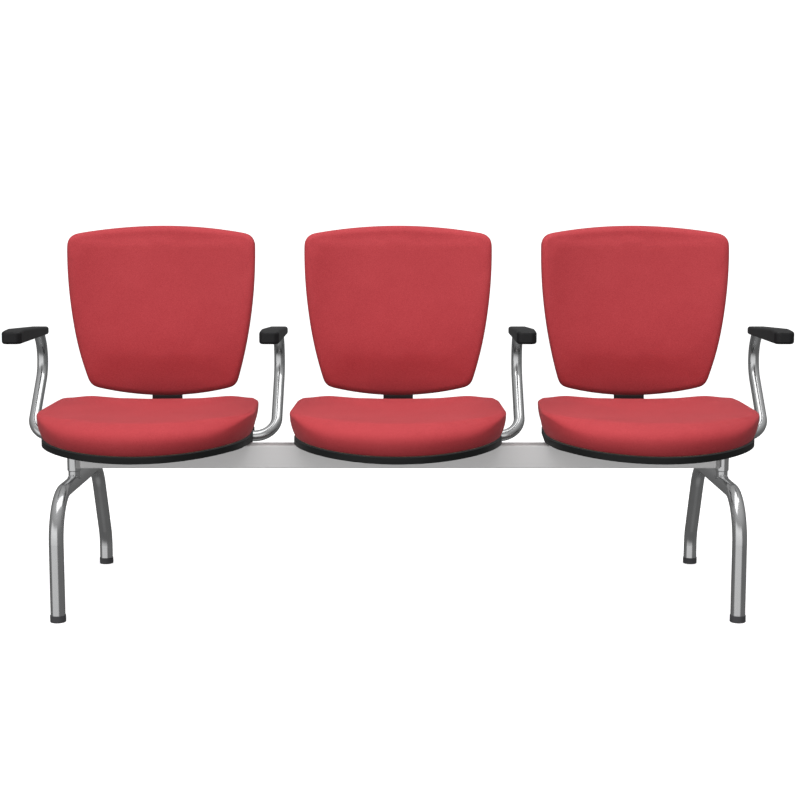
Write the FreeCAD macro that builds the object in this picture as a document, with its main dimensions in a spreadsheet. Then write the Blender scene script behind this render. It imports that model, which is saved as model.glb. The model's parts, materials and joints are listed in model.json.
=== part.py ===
import FreeCAD, Part
import math
import os

import Sketcher

# Beam seating: three upholstered chairs on one square steel beam, carried by two arched tube legs.
# Millimetres. +Z is up, the chairs face -Y, +X runs along the beam to the sitter's left.
# The origin is on the floor, under the middle of the whole object.

SIZES = [
    ("seat_height", 442.5, "height of the seat cushion's rim, at its rear"),
    ("seat_pad", 63.5, "the cushion's rear rim above the seat board"),
    ("board_top", "=seat_height - seat_pad", "height of the seat board's flat rear part"),
    ("seat_pitch", 560, "from one chair's centre to the next"),
    ("leg_offset", 732, "from the middle chair's centre to each leg"),
    ("beam_side", 52, "outer side of the square beam"),
    ("board_above_beam", 22.2, "seat board's top above the beam's"),
    ("beam_base", "=board_top - board_above_beam - beam_side", "height of the beam's underside"),
    ("beam_wall", 2, "wall of the beam"),
    ("beam_corner", 3, "rounding of the beam's long edges"),
    ("stub_wall", 2.5, "wall of the stub that plugs into the beam"),
    ("stub_length", 60, "length of the stub inside the beam"),
    ("flange_plate", 4, "plate between the post and the beam's end"),
    ("saddle_depth", 6, "how far that plate reaches round the post"),
    ("leg_tube", 31.75, "outer diameter of the leg tube"),
    ("leg_wall", 2, "wall of the leg tube"),
    ("post_tube", 30, "outer diameter of the post"),
    ("post_neck", 26, "diameter of the post's lower neck"),
    ("post_bore", 22, "bore of the post"),
    ("neck_drop", 10, "from the beam's underside to where the neck widens to the post"),
    ("neck_height", "=beam_base - neck_drop", "height where the neck widens to the post"),
    ("front_reach", 205, "front foot ahead of the beam's axis"),
    ("rear_reach", 368.5, "rear foot behind the beam's axis"),
    ("arch_drop", 34.8, "from the beam's underside to the arch's axis"),
    ("arch_height", "=beam_base - arch_drop", "axis height of the leg's arch"),
    ("arch_bend", 100, "bend radius at both ends of the arch"),
    ("knee_height", 70, "height where the rear leg turns vertical"),
    ("knee_bend", 100, "bend radius there"),
    ("rear_slant", 27.3, "slant of the rear leg from vertical, degrees"),
    ("cap_wall", 1.2, "wall of a foot cap round the tube"),
    ("cap_floor", 4, "floor of a foot cap"),
    ("cap_height", 15, "height of a foot cap"),
    ("post_lid", 4, "thickness of the post's lid"),
    ("front_radius", 232, "radius of the seat's round front, at the edge band"),
    ("front_centre", -28, "where that radius is centred, along Y"),
    ("side_taper", 2.2, "taper of the seat's sides, degrees"),
    ("seat_rear_reach", 180, "rear edge of the seat's edge band"),
    ("seat_corner", 74, "corner radius at the seat's rear"),
    ("board_thick", 12, "thickness of the seat board"),
    ("board_level_from", -40, "where the board starts to drop to the front"),
    ("board_drop", 14, "drop of the board at its front edge"),
    ("band_wall", 8, "thickness of the black edge band"),
    ("band_height", 13.5, "height of the black edge band"),
    ("shell_inset", 12, "underside cover inside the edge band's outline"),
    ("shell_wall", 3, "wall of the underside cover"),
    ("shell_play", 2, "room round the bracket and the bar in the underside cover"),
    ("shell_above_beam", 1.7, "underside cover's bottom above the beam"),
    ("shell_base", "=beam_base + beam_side + shell_above_beam", "height of the underside cover's bottom"),
    ("seat_bulge", 9.5, "how far the cushion stands past its edge band"),
    ("dish_depth", 12, "depth of the dish in the seat"),
    ("dish_width", 370, "width of that dish"),
    ("dish_centre", 12, "middle of the dish, along Y"),
    ("seat_fall", 1.5, "slope of the seat's rim down to the front, degrees"),
    ("front_roll", 50, "how far the front's upper edge rolls back"),
    ("bracket_width", 180, "seat bracket, along the beam"),
    ("bracket_depth", 150, "seat bracket, across the beam"),
    ("bracket_plate", 3.5, "thickness of the seat bracket's plate"),
    ("bracket_lip", 40, "height of the lip behind the beam"),
    ("rail_width", 26, "width of the bracket's two rails"),
    ("bar_width", 60, "width of the back's steel bar"),
    ("bar_thick", 6, "thickness of that bar"),
    ("bar_front", -55, "front end of the bar under the seat"),
    ("bar_bend", 42, "bend radius of the bar, at its middle"),
    ("bar_past_lumbar", 95, "bar's upper end above lumbar_height"),
    ("cover_width", 72, "width of the bar's plastic cover"),
    ("cover_wall", 3, "wall of that cover"),
    ("cover_below_back", 4, "from the cover's sleeve to the back's bottom edge"),
    ("cover_drop", 34.5, "from the seat's rim down to the cover's lower end"),
    ("cover_from", "=seat_height - cover_drop", "height where the cover starts"),
    ("back_drop", 5.7, "from the seat's rim down to the back's bottom edge, at its middle"),
    ("back_base", "=seat_height - back_drop", "height of the back's bottom edge, at its middle"),
    ("back_height", 404.2, "from that edge to the back's top edge, at its middle"),
    ("back_top", "=back_base + back_height", "height of the back's top edge, at its middle"),
    ("back_half_width", 221.7, "half of the back's greatest width"),
    ("back_wide_drop", 60, "from the top edge down to the back's greatest width"),
    ("back_wide_height", "=back_top - back_wide_drop", "height of the back's greatest width"),
    ("lumbar_rise", 109, "lumbar support above the back's bottom edge"),
    ("lumbar_height", "=back_base + lumbar_rise", "height of the lumbar support"),
    ("back_side_radius", 1070, "radius of the back's sides"),
    ("back_top_radius", 1150, "radius of the top edge"),
    ("back_base_radius", 587, "radius of the bottom edge"),
    ("back_top_corner", 27, "upper corner radius"),
    ("back_base_corner", 26.5, "lower corner radius"),
    ("back_edge_reach", 186, "side edge of the back behind the beam's axis, at lumbar_height"),
    ("back_lean", 3.95, "lean of the back, degrees"),
    ("back_hollow", 50, "how far the back's middle lies behind its side edges"),
    ("lumbar_bulge", 12, "how far the lumbar support stands forward"),
    ("base_recede", 9, "how far the lowest part of the pad draws back"),
    ("back_pad_edge", 34, "thickness of the back pad at its sides"),
    ("back_pad_middle", 40, "thickness of the back pad at its middle"),
    ("back_front_round", 13, "rounding of the pad's front edge"),
    ("back_rear_round", 7, "rounding of the pad's rear edge"),
    ("back_board_thick", 10, "thickness of the board in the back"),
    ("back_board_inset", 12, "board inside the back's outline"),
    ("back_shell_wall", 3.5, "wall of the back's rear cover"),
    ("back_shell_inset", 2, "rear cover inside the back's outline"),
    ("arm_offset", 280, "arm tube from its chair's centre"),
    ("arm_tube", 25.4, "outer diameter of the arm tube"),
    ("arm_wall", 2, "wall of the arm tube"),
    ("arm_root_reach", 62, "arm tube's root behind the beam's axis"),
    ("arm_root_drop", 13, "from the seat board's top down to the arm tube's root axis"),
    ("arm_root_height", "=board_top - arm_root_drop", "axis height of the arm tube's root"),
    ("arm_side_bend", 50, "bend radius at the arm's root"),
    ("arm_elbow_reach", 219, "arm's elbow behind the beam's axis"),
    ("arm_elbow_drop", 62, "arm's elbow below the arm pad's underside"),
    ("arm_elbow_bend", 70, "bend radius of the elbow"),
    ("arm_top_lean", 40, "forward lean above the elbow, degrees"),
    ("arm_block_in", 208, "inner side of the arm's block, from the chair's centre"),
    ("arm_block_out", 227, "outer side of that block"),
    ("arm_block_width", 30, "width of the block"),
    ("arm_block_drop", 26, "from the seat board's top down to the block's underside"),
    ("arm_block_base", "=board_top - arm_block_drop", "height of the block's underside"),
    ("arm_plate_in", 112, "inner end of the arm's plate under the seat"),
    ("arm_plate_width", 50, "width of that plate"),
    ("arm_plate_thick", 5, "thickness of that plate"),
    ("pad_width", 44, "width of the arm pad"),
    ("pad_rise", 148.5, "arm pad's underside above the seat's rim"),
    ("pad_height", "=seat_height + pad_rise", "height of the arm pad's underside"),
    ("pad_front_reach", -112, "front end of the arm pad"),
    ("pad_rear_reach", 180, "rear end of the arm pad"),
    ("pad_front_thick", 30, "thickness of the arm pad near its front"),
    ("pad_rear_thick", 18, "thickness of the arm pad at its rear"),
    ("pad_crown_reach", 60, "from the pad's front end to its highest point"),
    ("pad_nose_drop", 3, "drop of the top surface at the pad's nose"),
    ("pad_end_round", 14, "rounding of the pad's ends, seen from above"),
    ("pad_edge_round", 6, "rounding of the pad's long edges"),
    ("strip_width", 26, "width of the steel strip under the pad"),
    ("strip_thick", 4, "thickness of that strip"),
    ("strip_length", 170, "length of that strip"),
    ("strip_rear_gap", 3, "from the strip's rear end to the pad's"),
    ("bolt_shank", 8, "bolt diameter"),
    ("bolt_head", 13, "bolt head across flats"),
    ("bolt_head_thick", 5.3, "thickness of the bolt head"),
    ("bolt_length", 18, "bolt length under the head"),
    ("chair_bolt_spacing", 110, "distance between the two bolts of a chair"),
    ("leg_bolt_inset", 32, "first leg bolt from the beam's end"),
    ("screw_shank", 6, "screw diameter"),
    ("screw_head", 12, "screw head diameter"),
    ("screw_head_thick", 3, "screw head thickness"),
    ("seat_screw_spacing", 110, "seat screws along the rails"),
    ("back_screw_spacing", 90, "back screws along the bar"),
    ("pad_screw_length", 15, "length of a pad screw under its head"),
    ("screw_stop", 3, "a screw ends this far below the surface ahead of it"),
    ("gap", 0.3, "clearance between pieces that only touch"),
    ("hole_play", 0.5, "radial play of a bolt in its hole"),
]

CHAIRS = {"left": -1, "centre": 0, "right": 1}
SIDES = {"left": -1, "right": 1}
# Each arm: the chair that carries it and the side of that chair.
ARMS = {
    "outer_left": ("left", -1),
    "inner_left": ("left", 1),
    "inner_right": ("centre", 1),
    "outer_right": ("right", 1),
}

doc = FreeCAD.newDocument("beam_seating")
sheet = doc.addObject("Spreadsheet::Sheet", "Sizes")
for row, (alias, value, meaning) in enumerate(SIZES, start=1):
    sheet.set("A%d" % row, alias)
    sheet.set("B%d" % row, str(value))
    sheet.set("C%d" % row, meaning)
    sheet.setAlias("B%d" % row, alias)
doc.recompute()

NODES = []

# Working shapes that cut or bound a piece run this far past it.
PAST = 40.0
# The solid block that a back is cut from: ahead of the back's side edges, and its depth.
BLOCK_AHEAD = 60.0
BLOCK_DEPTH = 260.0
# A curved slice of a back is drawn this far past the back's sides.
SLICE_MARGIN = 12.0
# Share of the lumbar support's bulge that its side edges follow.
EDGE_SHARE = 0.3
# Two places closer than this are one.
TOUCH = 1e-6
# Steps of halving when two circles are made to meet.
HALVINGS = 60
# Share of a plate's or strip's length at each of its two screws.
ARM_SCREW_SHARES = (0.25, 0.75)
PAD_SCREW_SHARES = (0.1, 0.55)


def size(alias):
    return float(getattr(sheet, alias))


def cell(text):
    """Write Sizes. before every alias in an expression."""
    aliases = [alias for alias, _, _ in SIZES]
    words = []
    word = ""
    for letter in text + " ":
        if letter.isalnum() or letter == "_":
            word += letter
            continue
        words.append("Sizes." + word if word in aliases else word)
        word = ""
        words.append(letter)
    return "".join(words).strip()


# Y of the origin from the beam's axis: halfway between the seats' fronts and the rear feet.
ORIGIN_SHIFT = (
    "(front_radius + seat_bulge - front_centre - rear_reach - leg_tube / 2 - cap_wall) / 2"
)


def place(node, x="0", y="0", z="0", rotation=None):
    """Put a finished sub-part at x, y, z, with y counted from the beam's axis."""
    if rotation is not None:
        node.Placement = FreeCAD.Placement(FreeCAD.Vector(), rotation)
    node.setExpression(".Placement.Base.x", cell(x))
    node.setExpression(".Placement.Base.y", cell(y + " + " + ORIGIN_SHIFT))
    node.setExpression(".Placement.Base.z", cell(z))
    NODES.append(node)
    return node


def chair_x(chair):
    return "%d * seat_pitch" % CHAIRS[chair]


# Sketched pieces


def new_body(label):
    body = doc.addObject("PartDesign::Body", label)
    body.Label = label
    return body


def new_sketch(body, plane, name):
    sketch = body.newObject("Sketcher::SketchObject", name)
    for feature in body.Origin.OriginFeatures:
        if feature.Role == plane:
            sketch.AttachmentSupport = [(feature, "")]
    sketch.MapMode = "FlatFace"
    return sketch


def bind(sketch, constraint, expression):
    index = sketch.addConstraint(constraint)
    sketch.setExpression("Constraints[%d]" % index, cell(expression))


def draw_rectangle(sketch, width, height, x="0", y="0"):
    """Draw a rectangle of the given width and height round the point x, y."""
    corners = [(-1, -1), (1, -1), (1, 1), (-1, 1)]
    points = [FreeCAD.Vector(10 * a, 10 * b, 0) for a, b in corners]
    first = sketch.GeometryCount
    for index in range(4):
        sketch.addGeometry(Part.LineSegment(points[index], points[(index + 1) % 4]), False)
    for index in range(4):
        following = first + (index + 1) % 4
        sketch.addConstraint(Sketcher.Constraint("Coincident", first + index, 2, following, 1))
    for index in (0, 2):
        sketch.addConstraint(Sketcher.Constraint("Horizontal", first + index))
        sketch.addConstraint(Sketcher.Constraint("Vertical", first + index + 1))
    bind(sketch, Sketcher.Constraint("DistanceX", first, 1, first, 2, 20), width)
    bind(sketch, Sketcher.Constraint("DistanceY", first + 1, 1, first + 1, 2, 20), height)
    left = "%s - (%s) / 2" % (x, width)
    low = "%s - (%s) / 2" % (y, height)
    bind(sketch, Sketcher.Constraint("DistanceX", -1, 1, first, 1, -10), left)
    bind(sketch, Sketcher.Constraint("DistanceY", -1, 1, first, 1, -10), low)


def draw_circle(sketch, diameter, x="0", y="0"):
    first = sketch.GeometryCount
    circle = Part.Circle(FreeCAD.Vector(1, 1, 0), FreeCAD.Vector(0, 0, 1), 5)
    sketch.addGeometry(circle, False)
    bind(sketch, Sketcher.Constraint("Diameter", first, 10), diameter)
    bind(sketch, Sketcher.Constraint("DistanceX", -1, 1, first, 3, 1), x)
    bind(sketch, Sketcher.Constraint("DistanceY", -1, 1, first, 3, 1), y)


def draw_profile(sketch, points):
    """Draw a closed outline whose corners are pairs of expressions."""
    first = sketch.GeometryCount
    count = len(points)
    starts = [FreeCAD.Vector(value_of(x), value_of(y), 0) for x, y in points]
    for index in range(count):
        sketch.addGeometry(Part.LineSegment(starts[index], starts[(index + 1) % count]), False)
    for index in range(count):
        following = first + (index + 1) % count
        sketch.addConstraint(Sketcher.Constraint("Coincident", first + index, 2, following, 1))
    for index, (x, y) in enumerate(points):
        start = starts[index]
        bind(sketch, Sketcher.Constraint("DistanceX", -1, 1, first + index, 1, start.x), x)
        bind(sketch, Sketcher.Constraint("DistanceY", -1, 1, first + index, 1, start.y), y)


def value_of(expression):
    """Work out an expression of aliases and plain numbers."""
    return float(sheet.evalExpression(cell(expression)))


def pad(body, sketch, length, midplane=False, reverse=False):
    feature = body.newObject("PartDesign::Pad", sketch.Name + "_pad")
    feature.Profile = sketch
    feature.setExpression("Length", cell(length))
    feature.Midplane = midplane
    feature.Reversed = reverse
    sketch.Visibility = False
    return feature


def pocket(body, sketch, length, midplane=False, reverse=False):
    feature = body.newObject("PartDesign::Pocket", sketch.Name + "_pocket")
    feature.Profile = sketch
    feature.setExpression("Length", cell(length))
    feature.Midplane = midplane
    feature.Reversed = reverse
    return feature


def revolve(body, sketch):
    feature = body.newObject("PartDesign::Revolution", sketch.Name + "_turn")
    feature.Profile = sketch
    feature.ReferenceAxis = (sketch, ["V_Axis"])
    feature.Angle = 360
    return feature


# Computed pieces


def vector(x, y, z=0.0):
    return FreeCAD.Vector(x, y, z)


def node_from(label, shape, x="0", y="0", z="0"):
    """Make a sub-part of a computed shape; a shape with its own placement is wrapped to keep it."""
    if not shape.Placement.isIdentity():
        shape = Part.makeCompound([shape])
    node = doc.addObject("Part::Feature", label)
    node.Label = label
    node.Shape = shape
    return place(node, x, y, z)


def rounded_path(points, radii):
    """A wire of straight runs through the points, with an arc of the given radius at each corner."""
    edges = []
    start = points[0]
    for index, radius in enumerate(radii, start=1):
        corner = points[index]
        inward = (points[index - 1] - corner).normalize()
        outward = (points[index + 1] - corner).normalize()
        half_turn = (math.pi - inward.getAngle(outward)) / 2
        reach = radius * math.tan(half_turn)
        arc_start = corner + inward * reach
        arc_end = corner + outward * reach
        bisector = (inward + outward).normalize()
        arc_middle = corner + bisector * (radius / math.cos(half_turn) - radius)
        edges.append(Part.LineSegment(start, arc_start).toShape())
        edges.append(Part.Arc(arc_start, arc_middle, arc_end).toShape())
        start = arc_end
    edges.append(Part.LineSegment(start, points[-1]).toShape())
    return Part.Wire(edges)


def swept(path, section):
    return path.makePipeShell([section], True, False)


def tube_along(path, diameter, wall):
    first = path.Edges[0]
    direction = first.tangentAt(first.FirstParameter)
    start = first.valueAt(first.FirstParameter)
    outer = Part.Wire(Part.Circle(start, direction, diameter / 2).toShape())
    inner = Part.Wire(Part.Circle(start, direction, diameter / 2 - wall).toShape())
    return swept(path, outer).cut(swept(path, inner))


def box(low, high):
    return Part.makeBox(high.x - low.x, high.y - low.y, high.z - low.z, low)


def seat_outline(grow, height, pull=0.0, fall=0.0):
    """The seat's outline from above: a round front, tapered sides and a rounded rear.

    The front can be pulled back, and the whole outline can fall towards it by an angle.
    """
    radius = size("front_radius") + grow
    centre_y = size("front_centre") + pull
    taper = math.radians(size("side_taper"))
    rear = size("seat_rear_reach") + grow
    corner = size("seat_corner") + grow
    corner_y = rear - corner
    corner_x = (radius - corner - (corner_y - centre_y) * math.sin(taper)) / math.cos(taper)
    diagonal = (taper + math.pi / 2) / 2

    def at(x, y):
        return vector(x, y, height - (size("seat_rear_reach") - y) * math.tan(fall))

    def turn(side, reach, angle, from_x, from_y):
        return at(side * (from_x + reach * math.cos(angle)), from_y + reach * math.sin(angle))

    front = at(0, centre_y - radius)
    half = {}
    for side in (1, -1):
        half[side] = {
            "rear": turn(side, 0, 0, corner_x, rear),
            "corner": turn(side, corner, diagonal, corner_x, corner_y),
            "side": turn(side, corner, taper, corner_x, corner_y),
            "shoulder": turn(side, radius, taper, 0, centre_y),
            "cheek": turn(side, radius, -math.pi / 4, 0, centre_y),
        }
    right = half[1]
    left = half[-1]
    edges = [
        Part.LineSegment(left["rear"], right["rear"]),
        Part.Arc(right["rear"], right["corner"], right["side"]),
        Part.LineSegment(right["side"], right["shoulder"]),
        Part.Arc(right["shoulder"], right["cheek"], front),
        Part.Arc(front, left["cheek"], left["shoulder"]),
        Part.LineSegment(left["shoulder"], left["side"]),
        Part.Arc(left["side"], left["corner"], left["rear"]),
    ]
    return Part.Wire([edge.toShape() for edge in edges])


def seat_prism(grow, low, high):
    return Part.Face(seat_outline(grow, low)).extrude(vector(0, 0, high - low))


def under_board(depth_top, depth_base):
    """A sheet that follows the seat board's top surface, between two depths below it."""
    level_from = size("board_level_from")
    run = level_from - size("front_centre") + size("front_radius")
    reach = run + PAST
    half = size("front_radius") + PAST
    rear = size("seat_rear_reach") + PAST
    drop = size("board_drop")
    curves = []
    for depth in (depth_top, depth_base):
        top = size("board_top") - depth
        bend = (run * run + drop * drop) / (2 * drop) - depth
        points = []
        for share in (0.0, 0.5, 1.0):
            along = reach * share
            height = top - bend + math.sqrt(bend * bend - along * along)
            points.append(vector(-half, level_from - along, height))
        curves.append((vector(-half, rear, top), points))
    (top_rear, top), (base_rear, base) = curves
    edges = [
        Part.LineSegment(top_rear, top[0]),
        Part.Arc(top[0], top[1], top[2]),
        Part.LineSegment(top[2], base[2]),
        Part.Arc(base[2], base[1], base[0]),
        Part.LineSegment(base[0], base_rear),
        Part.LineSegment(base_rear, top_rear),
    ]
    face = Part.Face(Part.Wire([edge.toShape() for edge in edges]))
    return face.extrude(vector(2 * half, 0, 0))


def arm_sides(chair):
    """The sides of a chair that carry an arm: -1 or 1."""
    return [side for owner, side in ARMS.values() if owner == chair]


def arm_block_space(side, play):
    """The space that an arm's block takes in the seat's edge, with play round it."""
    inner = size("arm_block_in") - play
    outer = size("arm_block_out") + PAST
    half = size("arm_block_width") / 2 + play
    reach = size("arm_root_reach")
    low = vector(min(side * inner, side * outer), reach - half, size("arm_block_base") - PAST)
    high = vector(max(side * inner, side * outer), reach + half, size("board_top") + play)
    return box(low, high)


# The frame


def make_beam():
    body = new_body("beam")
    section = new_sketch(body, "YZ_Plane", "beam_section")
    draw_rectangle(section, "beam_side", "beam_side")
    draw_rectangle(section, "beam_side - 2 * beam_wall", "beam_side - 2 * beam_wall")
    length = "2 * (leg_offset - post_tube / 2 - flange_plate)"
    square = pad(body, section, length, midplane=True)
    doc.recompute()
    outer = size("beam_side") / 2
    corners = []
    for index, edge in enumerate(square.Shape.Edges, start=1):
        middle = edge.CenterOfMass
        if abs(middle.y) > outer - TOUCH and abs(middle.z) > outer - TOUCH:
            corners.append("Edge%d" % index)
    rounding = body.newObject("PartDesign::Fillet", "beam_rounding")
    rounding.Base = (square, corners)
    rounding.setExpression("Radius", cell("beam_corner"))
    holes = new_sketch(body, "XZ_Plane", "beam_holes")
    for chair in CHAIRS:
        for side in (-1, 1):
            x = "%s + %d * chair_bolt_spacing / 2" % (chair_x(chair), side)
            draw_circle(holes, "bolt_shank + 2 * hole_play", x)
    for side in SIDES.values():
        x = "%d * (leg_offset - post_tube / 2 - flange_plate - leg_bolt_inset)" % side
        draw_circle(holes, "bolt_shank + 2 * hole_play", x)
    pocket(body, holes, "beam_side")
    place(body, z="beam_base + beam_side / 2")


def make_flange(side_name):
    """The plate that is welded round the post, with the stub that plugs into the beam."""
    body = new_body("beam_flange_" + side_name)
    plate = new_sketch(body, "YZ_Plane", "flange_face")
    draw_rectangle(plate, "beam_side", "beam_side")
    pad(body, plate, "flange_plate + saddle_depth")
    saddle = new_sketch(body, "XY_Plane", "flange_saddle")
    draw_circle(saddle, "post_tube + gap", "flange_plate + post_tube / 2")
    pocket(body, saddle, "2 * beam_side", midplane=True)
    stub = new_sketch(body, "YZ_Plane", "stub_section")
    outer = "beam_side - 2 * beam_wall - 2 * gap"
    draw_rectangle(stub, outer, outer)
    inner = outer + " - 2 * stub_wall"
    draw_rectangle(stub, inner, inner)
    pad(body, stub, "stub_length", reverse=True)
    hole = new_sketch(body, "XZ_Plane", "stub_hole")
    draw_circle(hole, "bolt_shank + 2 * gap", "-leg_bolt_inset")
    pocket(body, hole, "beam_side")
    side = SIDES[side_name]
    rotation = FreeCAD.Rotation(FreeCAD.Vector(0, 1, 0), 0 if side > 0 else 180)
    x = "%d * (leg_offset - post_tube / 2 - flange_plate)" % side
    place(body, x, z="beam_base + beam_side / 2", rotation=rotation)


def arch_path():
    front = -size("front_reach")
    rear = size("rear_reach")
    height = size("arch_height")
    knee = size("knee_height")
    slant = math.radians(size("rear_slant"))
    floor = size("cap_floor")
    shoulder = rear - (height - knee) * math.tan(slant)
    points = [
        vector(0, front, floor),
        vector(0, front, height),
        vector(0, shoulder, height),
        vector(0, rear, knee),
        vector(0, rear, floor),
    ]
    return rounded_path(points, [size("arch_bend"), size("arch_bend"), size("knee_bend")])


def make_leg(side_name):
    x = "%d * leg_offset" % SIDES[side_name]
    arch = tube_along(arch_path(), size("leg_tube"), size("leg_wall"))
    node_from("leg_arch_" + side_name, arch, x)

    post = new_body("post_blank_" + side_name)
    profile = new_sketch(post, "XZ_Plane", "post_profile")
    post_top = "beam_base + beam_side - post_lid"
    draw_profile(profile, [
        ("post_bore / 2", "arch_height"),
        ("post_neck / 2", "arch_height"),
        ("post_neck / 2", "neck_height"),
        ("post_tube / 2", "neck_height + (post_tube - post_neck) / 2"),
        ("post_tube / 2", post_top),
        ("post_bore / 2", post_top),
    ])
    revolve(post, profile)
    cope = doc.addObject("Part::Cylinder", "post_cope_" + side_name)
    cope.setExpression("Radius", cell("leg_tube / 2 + gap / 2"))
    cope.setExpression("Height", cell("4 * leg_tube"))
    cope.Placement = FreeCAD.Placement(FreeCAD.Vector(), FreeCAD.Rotation(FreeCAD.Vector(1, 0, 0), -90))
    cope.setExpression(".Placement.Base.y", cell("-2 * leg_tube"))
    cope.setExpression(".Placement.Base.z", cell("arch_height"))
    coped = doc.addObject("Part::Cut", "leg_post_" + side_name)
    coped.Label = "leg_post_" + side_name
    coped.Base = post
    coped.Tool = cope
    place(coped, x)


def make_post_caps():
    """A push-in lid for each post."""
    radius = size("post_tube") / 2
    plug = size("post_bore") / 2 - size("gap") / 2
    top = size("beam_base") + size("beam_side")
    lid = size("post_lid")
    caps = []
    for side in SIDES.values():
        centre = vector(side * size("leg_offset"), 0, top - lid)
        disc = Part.makeCylinder(radius, lid, centre)
        rim = [edge for edge in disc.Edges if abs(edge.BoundBox.ZMin - top) < TOUCH]
        disc = disc.makeFillet(lid / 3, rim)
        stem = Part.makeCylinder(plug, 2 * lid, centre - vector(0, 0, 2 * lid))
        caps.append(disc.fuse(stem).removeSplitter())
    node_from("post_caps", Part.makeCompound(caps))


def make_foot(side_name, end_name):
    body = new_body("foot_%s_%s" % (end_name, side_name))
    profile = new_sketch(body, "XZ_Plane", "foot_profile")
    bore = "leg_tube / 2 + gap / 2"
    rim = "leg_tube / 2 + cap_wall"
    draw_profile(profile, [
        ("0", "0"),
        (rim + " - cap_wall", "0"),
        (rim, "cap_wall"),
        (rim, "cap_height"),
        (bore, "cap_height"),
        (bore, "cap_floor"),
        ("0", "cap_floor"),
    ])
    revolve(body, profile)
    reach = "rear_reach" if end_name == "rear" else "-front_reach"
    place(body, "%d * leg_offset" % SIDES[side_name], reach)


# The chairs


def make_seat_cushion(chair):
    """A thick foam pad: drawn in at its edge band, widest near its rim, rolled over in front, dished."""
    rim = size("seat_height")
    bulge = size("seat_bulge")
    base = size("board_top") - size("board_drop")
    rise = rim - base
    fall = math.radians(size("seat_fall"))
    roll = size("front_roll")
    # At each share of the height: the sides' share of the bulge, and how far the front has rolled back.
    levels = [
        (-0.25, -0.4, 0.27),
        (0.15, -0.25, 0.12),
        (0.35, 0.45, 0.025),
        (0.55, 0.85, 0.006),
        (0.75, 1.0, 0.13),
        (0.88, 0.9, 0.36),
        (0.965, 0.55, 0.67),
        (1.0, 0, 1.0),
    ]
    outlines = []
    for level, share, rolled in levels:
        tilt = fall * max(level, 0)
        pull = roll * rolled - bulge * (1 - share)
        outlines.append(seat_outline(bulge * share, base + rise * level, pull, tilt))
    body = Part.makeLoft(outlines, True, False)
    depth = size("dish_depth")
    half = size("dish_width") / 2
    radius = (half * half + depth * depth) / (2 * depth)
    dish_y = size("dish_centre")
    rim_there = rim - (size("seat_rear_reach") - dish_y) * math.tan(fall)
    upright = vector(0, -math.sin(fall), math.cos(fall))
    dish = Part.makeSphere(radius, vector(0, dish_y, rim_there) + upright * (radius - depth))
    board_space = under_board(-size("gap"), PAST)
    body = body.cut(dish).cut(board_space)
    node_from("seat_cushion_" + chair, largest_solid(body), chair_x(chair))


def largest_solid(shape):
    return max(shape.Solids, key=lambda solid: solid.Volume)


def make_seat_board(chair):
    sheet_space = under_board(0, size("board_thick"))
    grow = -size("band_wall") - size("gap")
    low = size("board_top") - size("board_drop") - 2 * size("board_thick")
    board = seat_prism(grow, low, size("board_top") + size("board_thick")).common(sheet_space)
    for side in arm_sides(chair):
        board = board.cut(arm_block_space(side, size("gap")))
    hole = size("screw_shank") / 2 + size("gap")
    places = seat_screw_places()
    for side in arm_sides(chair):
        places += [(x, size("arm_root_reach")) for x in arm_screw_places(side)]
    for x, y in places:
        board = board.cut(Part.makeCylinder(hole, PAST, vector(x, y, low)))
    node_from("seat_board_" + chair, board, chair_x(chair))


def make_seat_band(chair):
    """The black profile round the edge of the seat board."""
    low = size("board_top") - size("board_drop") - 2 * size("band_height")
    high = size("board_top") + size("board_drop")
    ring = seat_prism(0, low, high).cut(seat_prism(-size("band_wall"), low, high))
    band = ring.common(under_board(0, size("band_height"))).cut(bar_slot())
    for side in arm_sides(chair):
        band = band.cut(arm_block_space(side, size("gap")))
    node_from("seat_band_" + chair, band, chair_x(chair))


def make_seat_shell(chair):
    """The moulded cover under the seat, open over the beam and the back's bar."""
    base = size("shell_base")
    wall = size("shell_wall")
    inset = size("shell_inset")
    top = size("board_top")
    outer = seat_prism(-inset, base, top)
    inner = seat_prism(-inset - wall, base + wall, top)
    cover = outer.cut(inner).cut(under_board(-PAST, size("board_thick") + size("gap")))
    play = size("shell_play")
    half_bracket = size("bracket_width") / 2 + play
    half_depth = size("bracket_depth") / 2 + play
    window = box(vector(-half_bracket, -half_depth, base - wall), vector(half_bracket, half_depth, top))
    cover = cover.cut(window).cut(bar_slot())
    access = size("screw_head") / 2 + play
    for side in arm_sides(chair):
        cover = cover.cut(arm_block_space(side, size("gap")))
        cover = cover.cut(arm_plate_space(side, size("gap")))
        for x in arm_screw_places(side):
            hole = Part.makeCylinder(access, PAST, vector(x, size("arm_root_reach"), base - wall))
            cover = cover.cut(hole)
    node_from("seat_shell_" + chair, largest_solid(cover), chair_x(chair))


def bar_slot():
    """The way that the back's bar takes out under the seat's rear edge."""
    half = size("bar_width") / 2 + size("shell_play")
    level = size("beam_base") + size("beam_side") + size("bracket_plate") + size("bar_thick")
    low = vector(-half, 0, size("beam_base"))
    return box(low, vector(half, size("seat_rear_reach") + PAST, level + size("gap")))


def arm_plate_space(side, play):
    inner = size("arm_plate_in") - play
    outer = size("arm_block_in") + play
    half = size("arm_plate_width") / 2 + play
    reach = size("arm_root_reach")
    top = size("board_top") - size("board_thick")
    low = vector(min(side * inner, side * outer), reach - half, top - size("arm_plate_thick") - 2 * play)
    high = vector(max(side * inner, side * outer), reach + half, top + play)
    return box(low, high)


def arm_screw_places(side):
    """X of the screws in an arm's plate, from its chair's centre."""
    length = size("arm_block_in") - size("arm_plate_in")
    return [side * (size("arm_plate_in") + share * length) for share in ARM_SCREW_SHARES]


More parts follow.
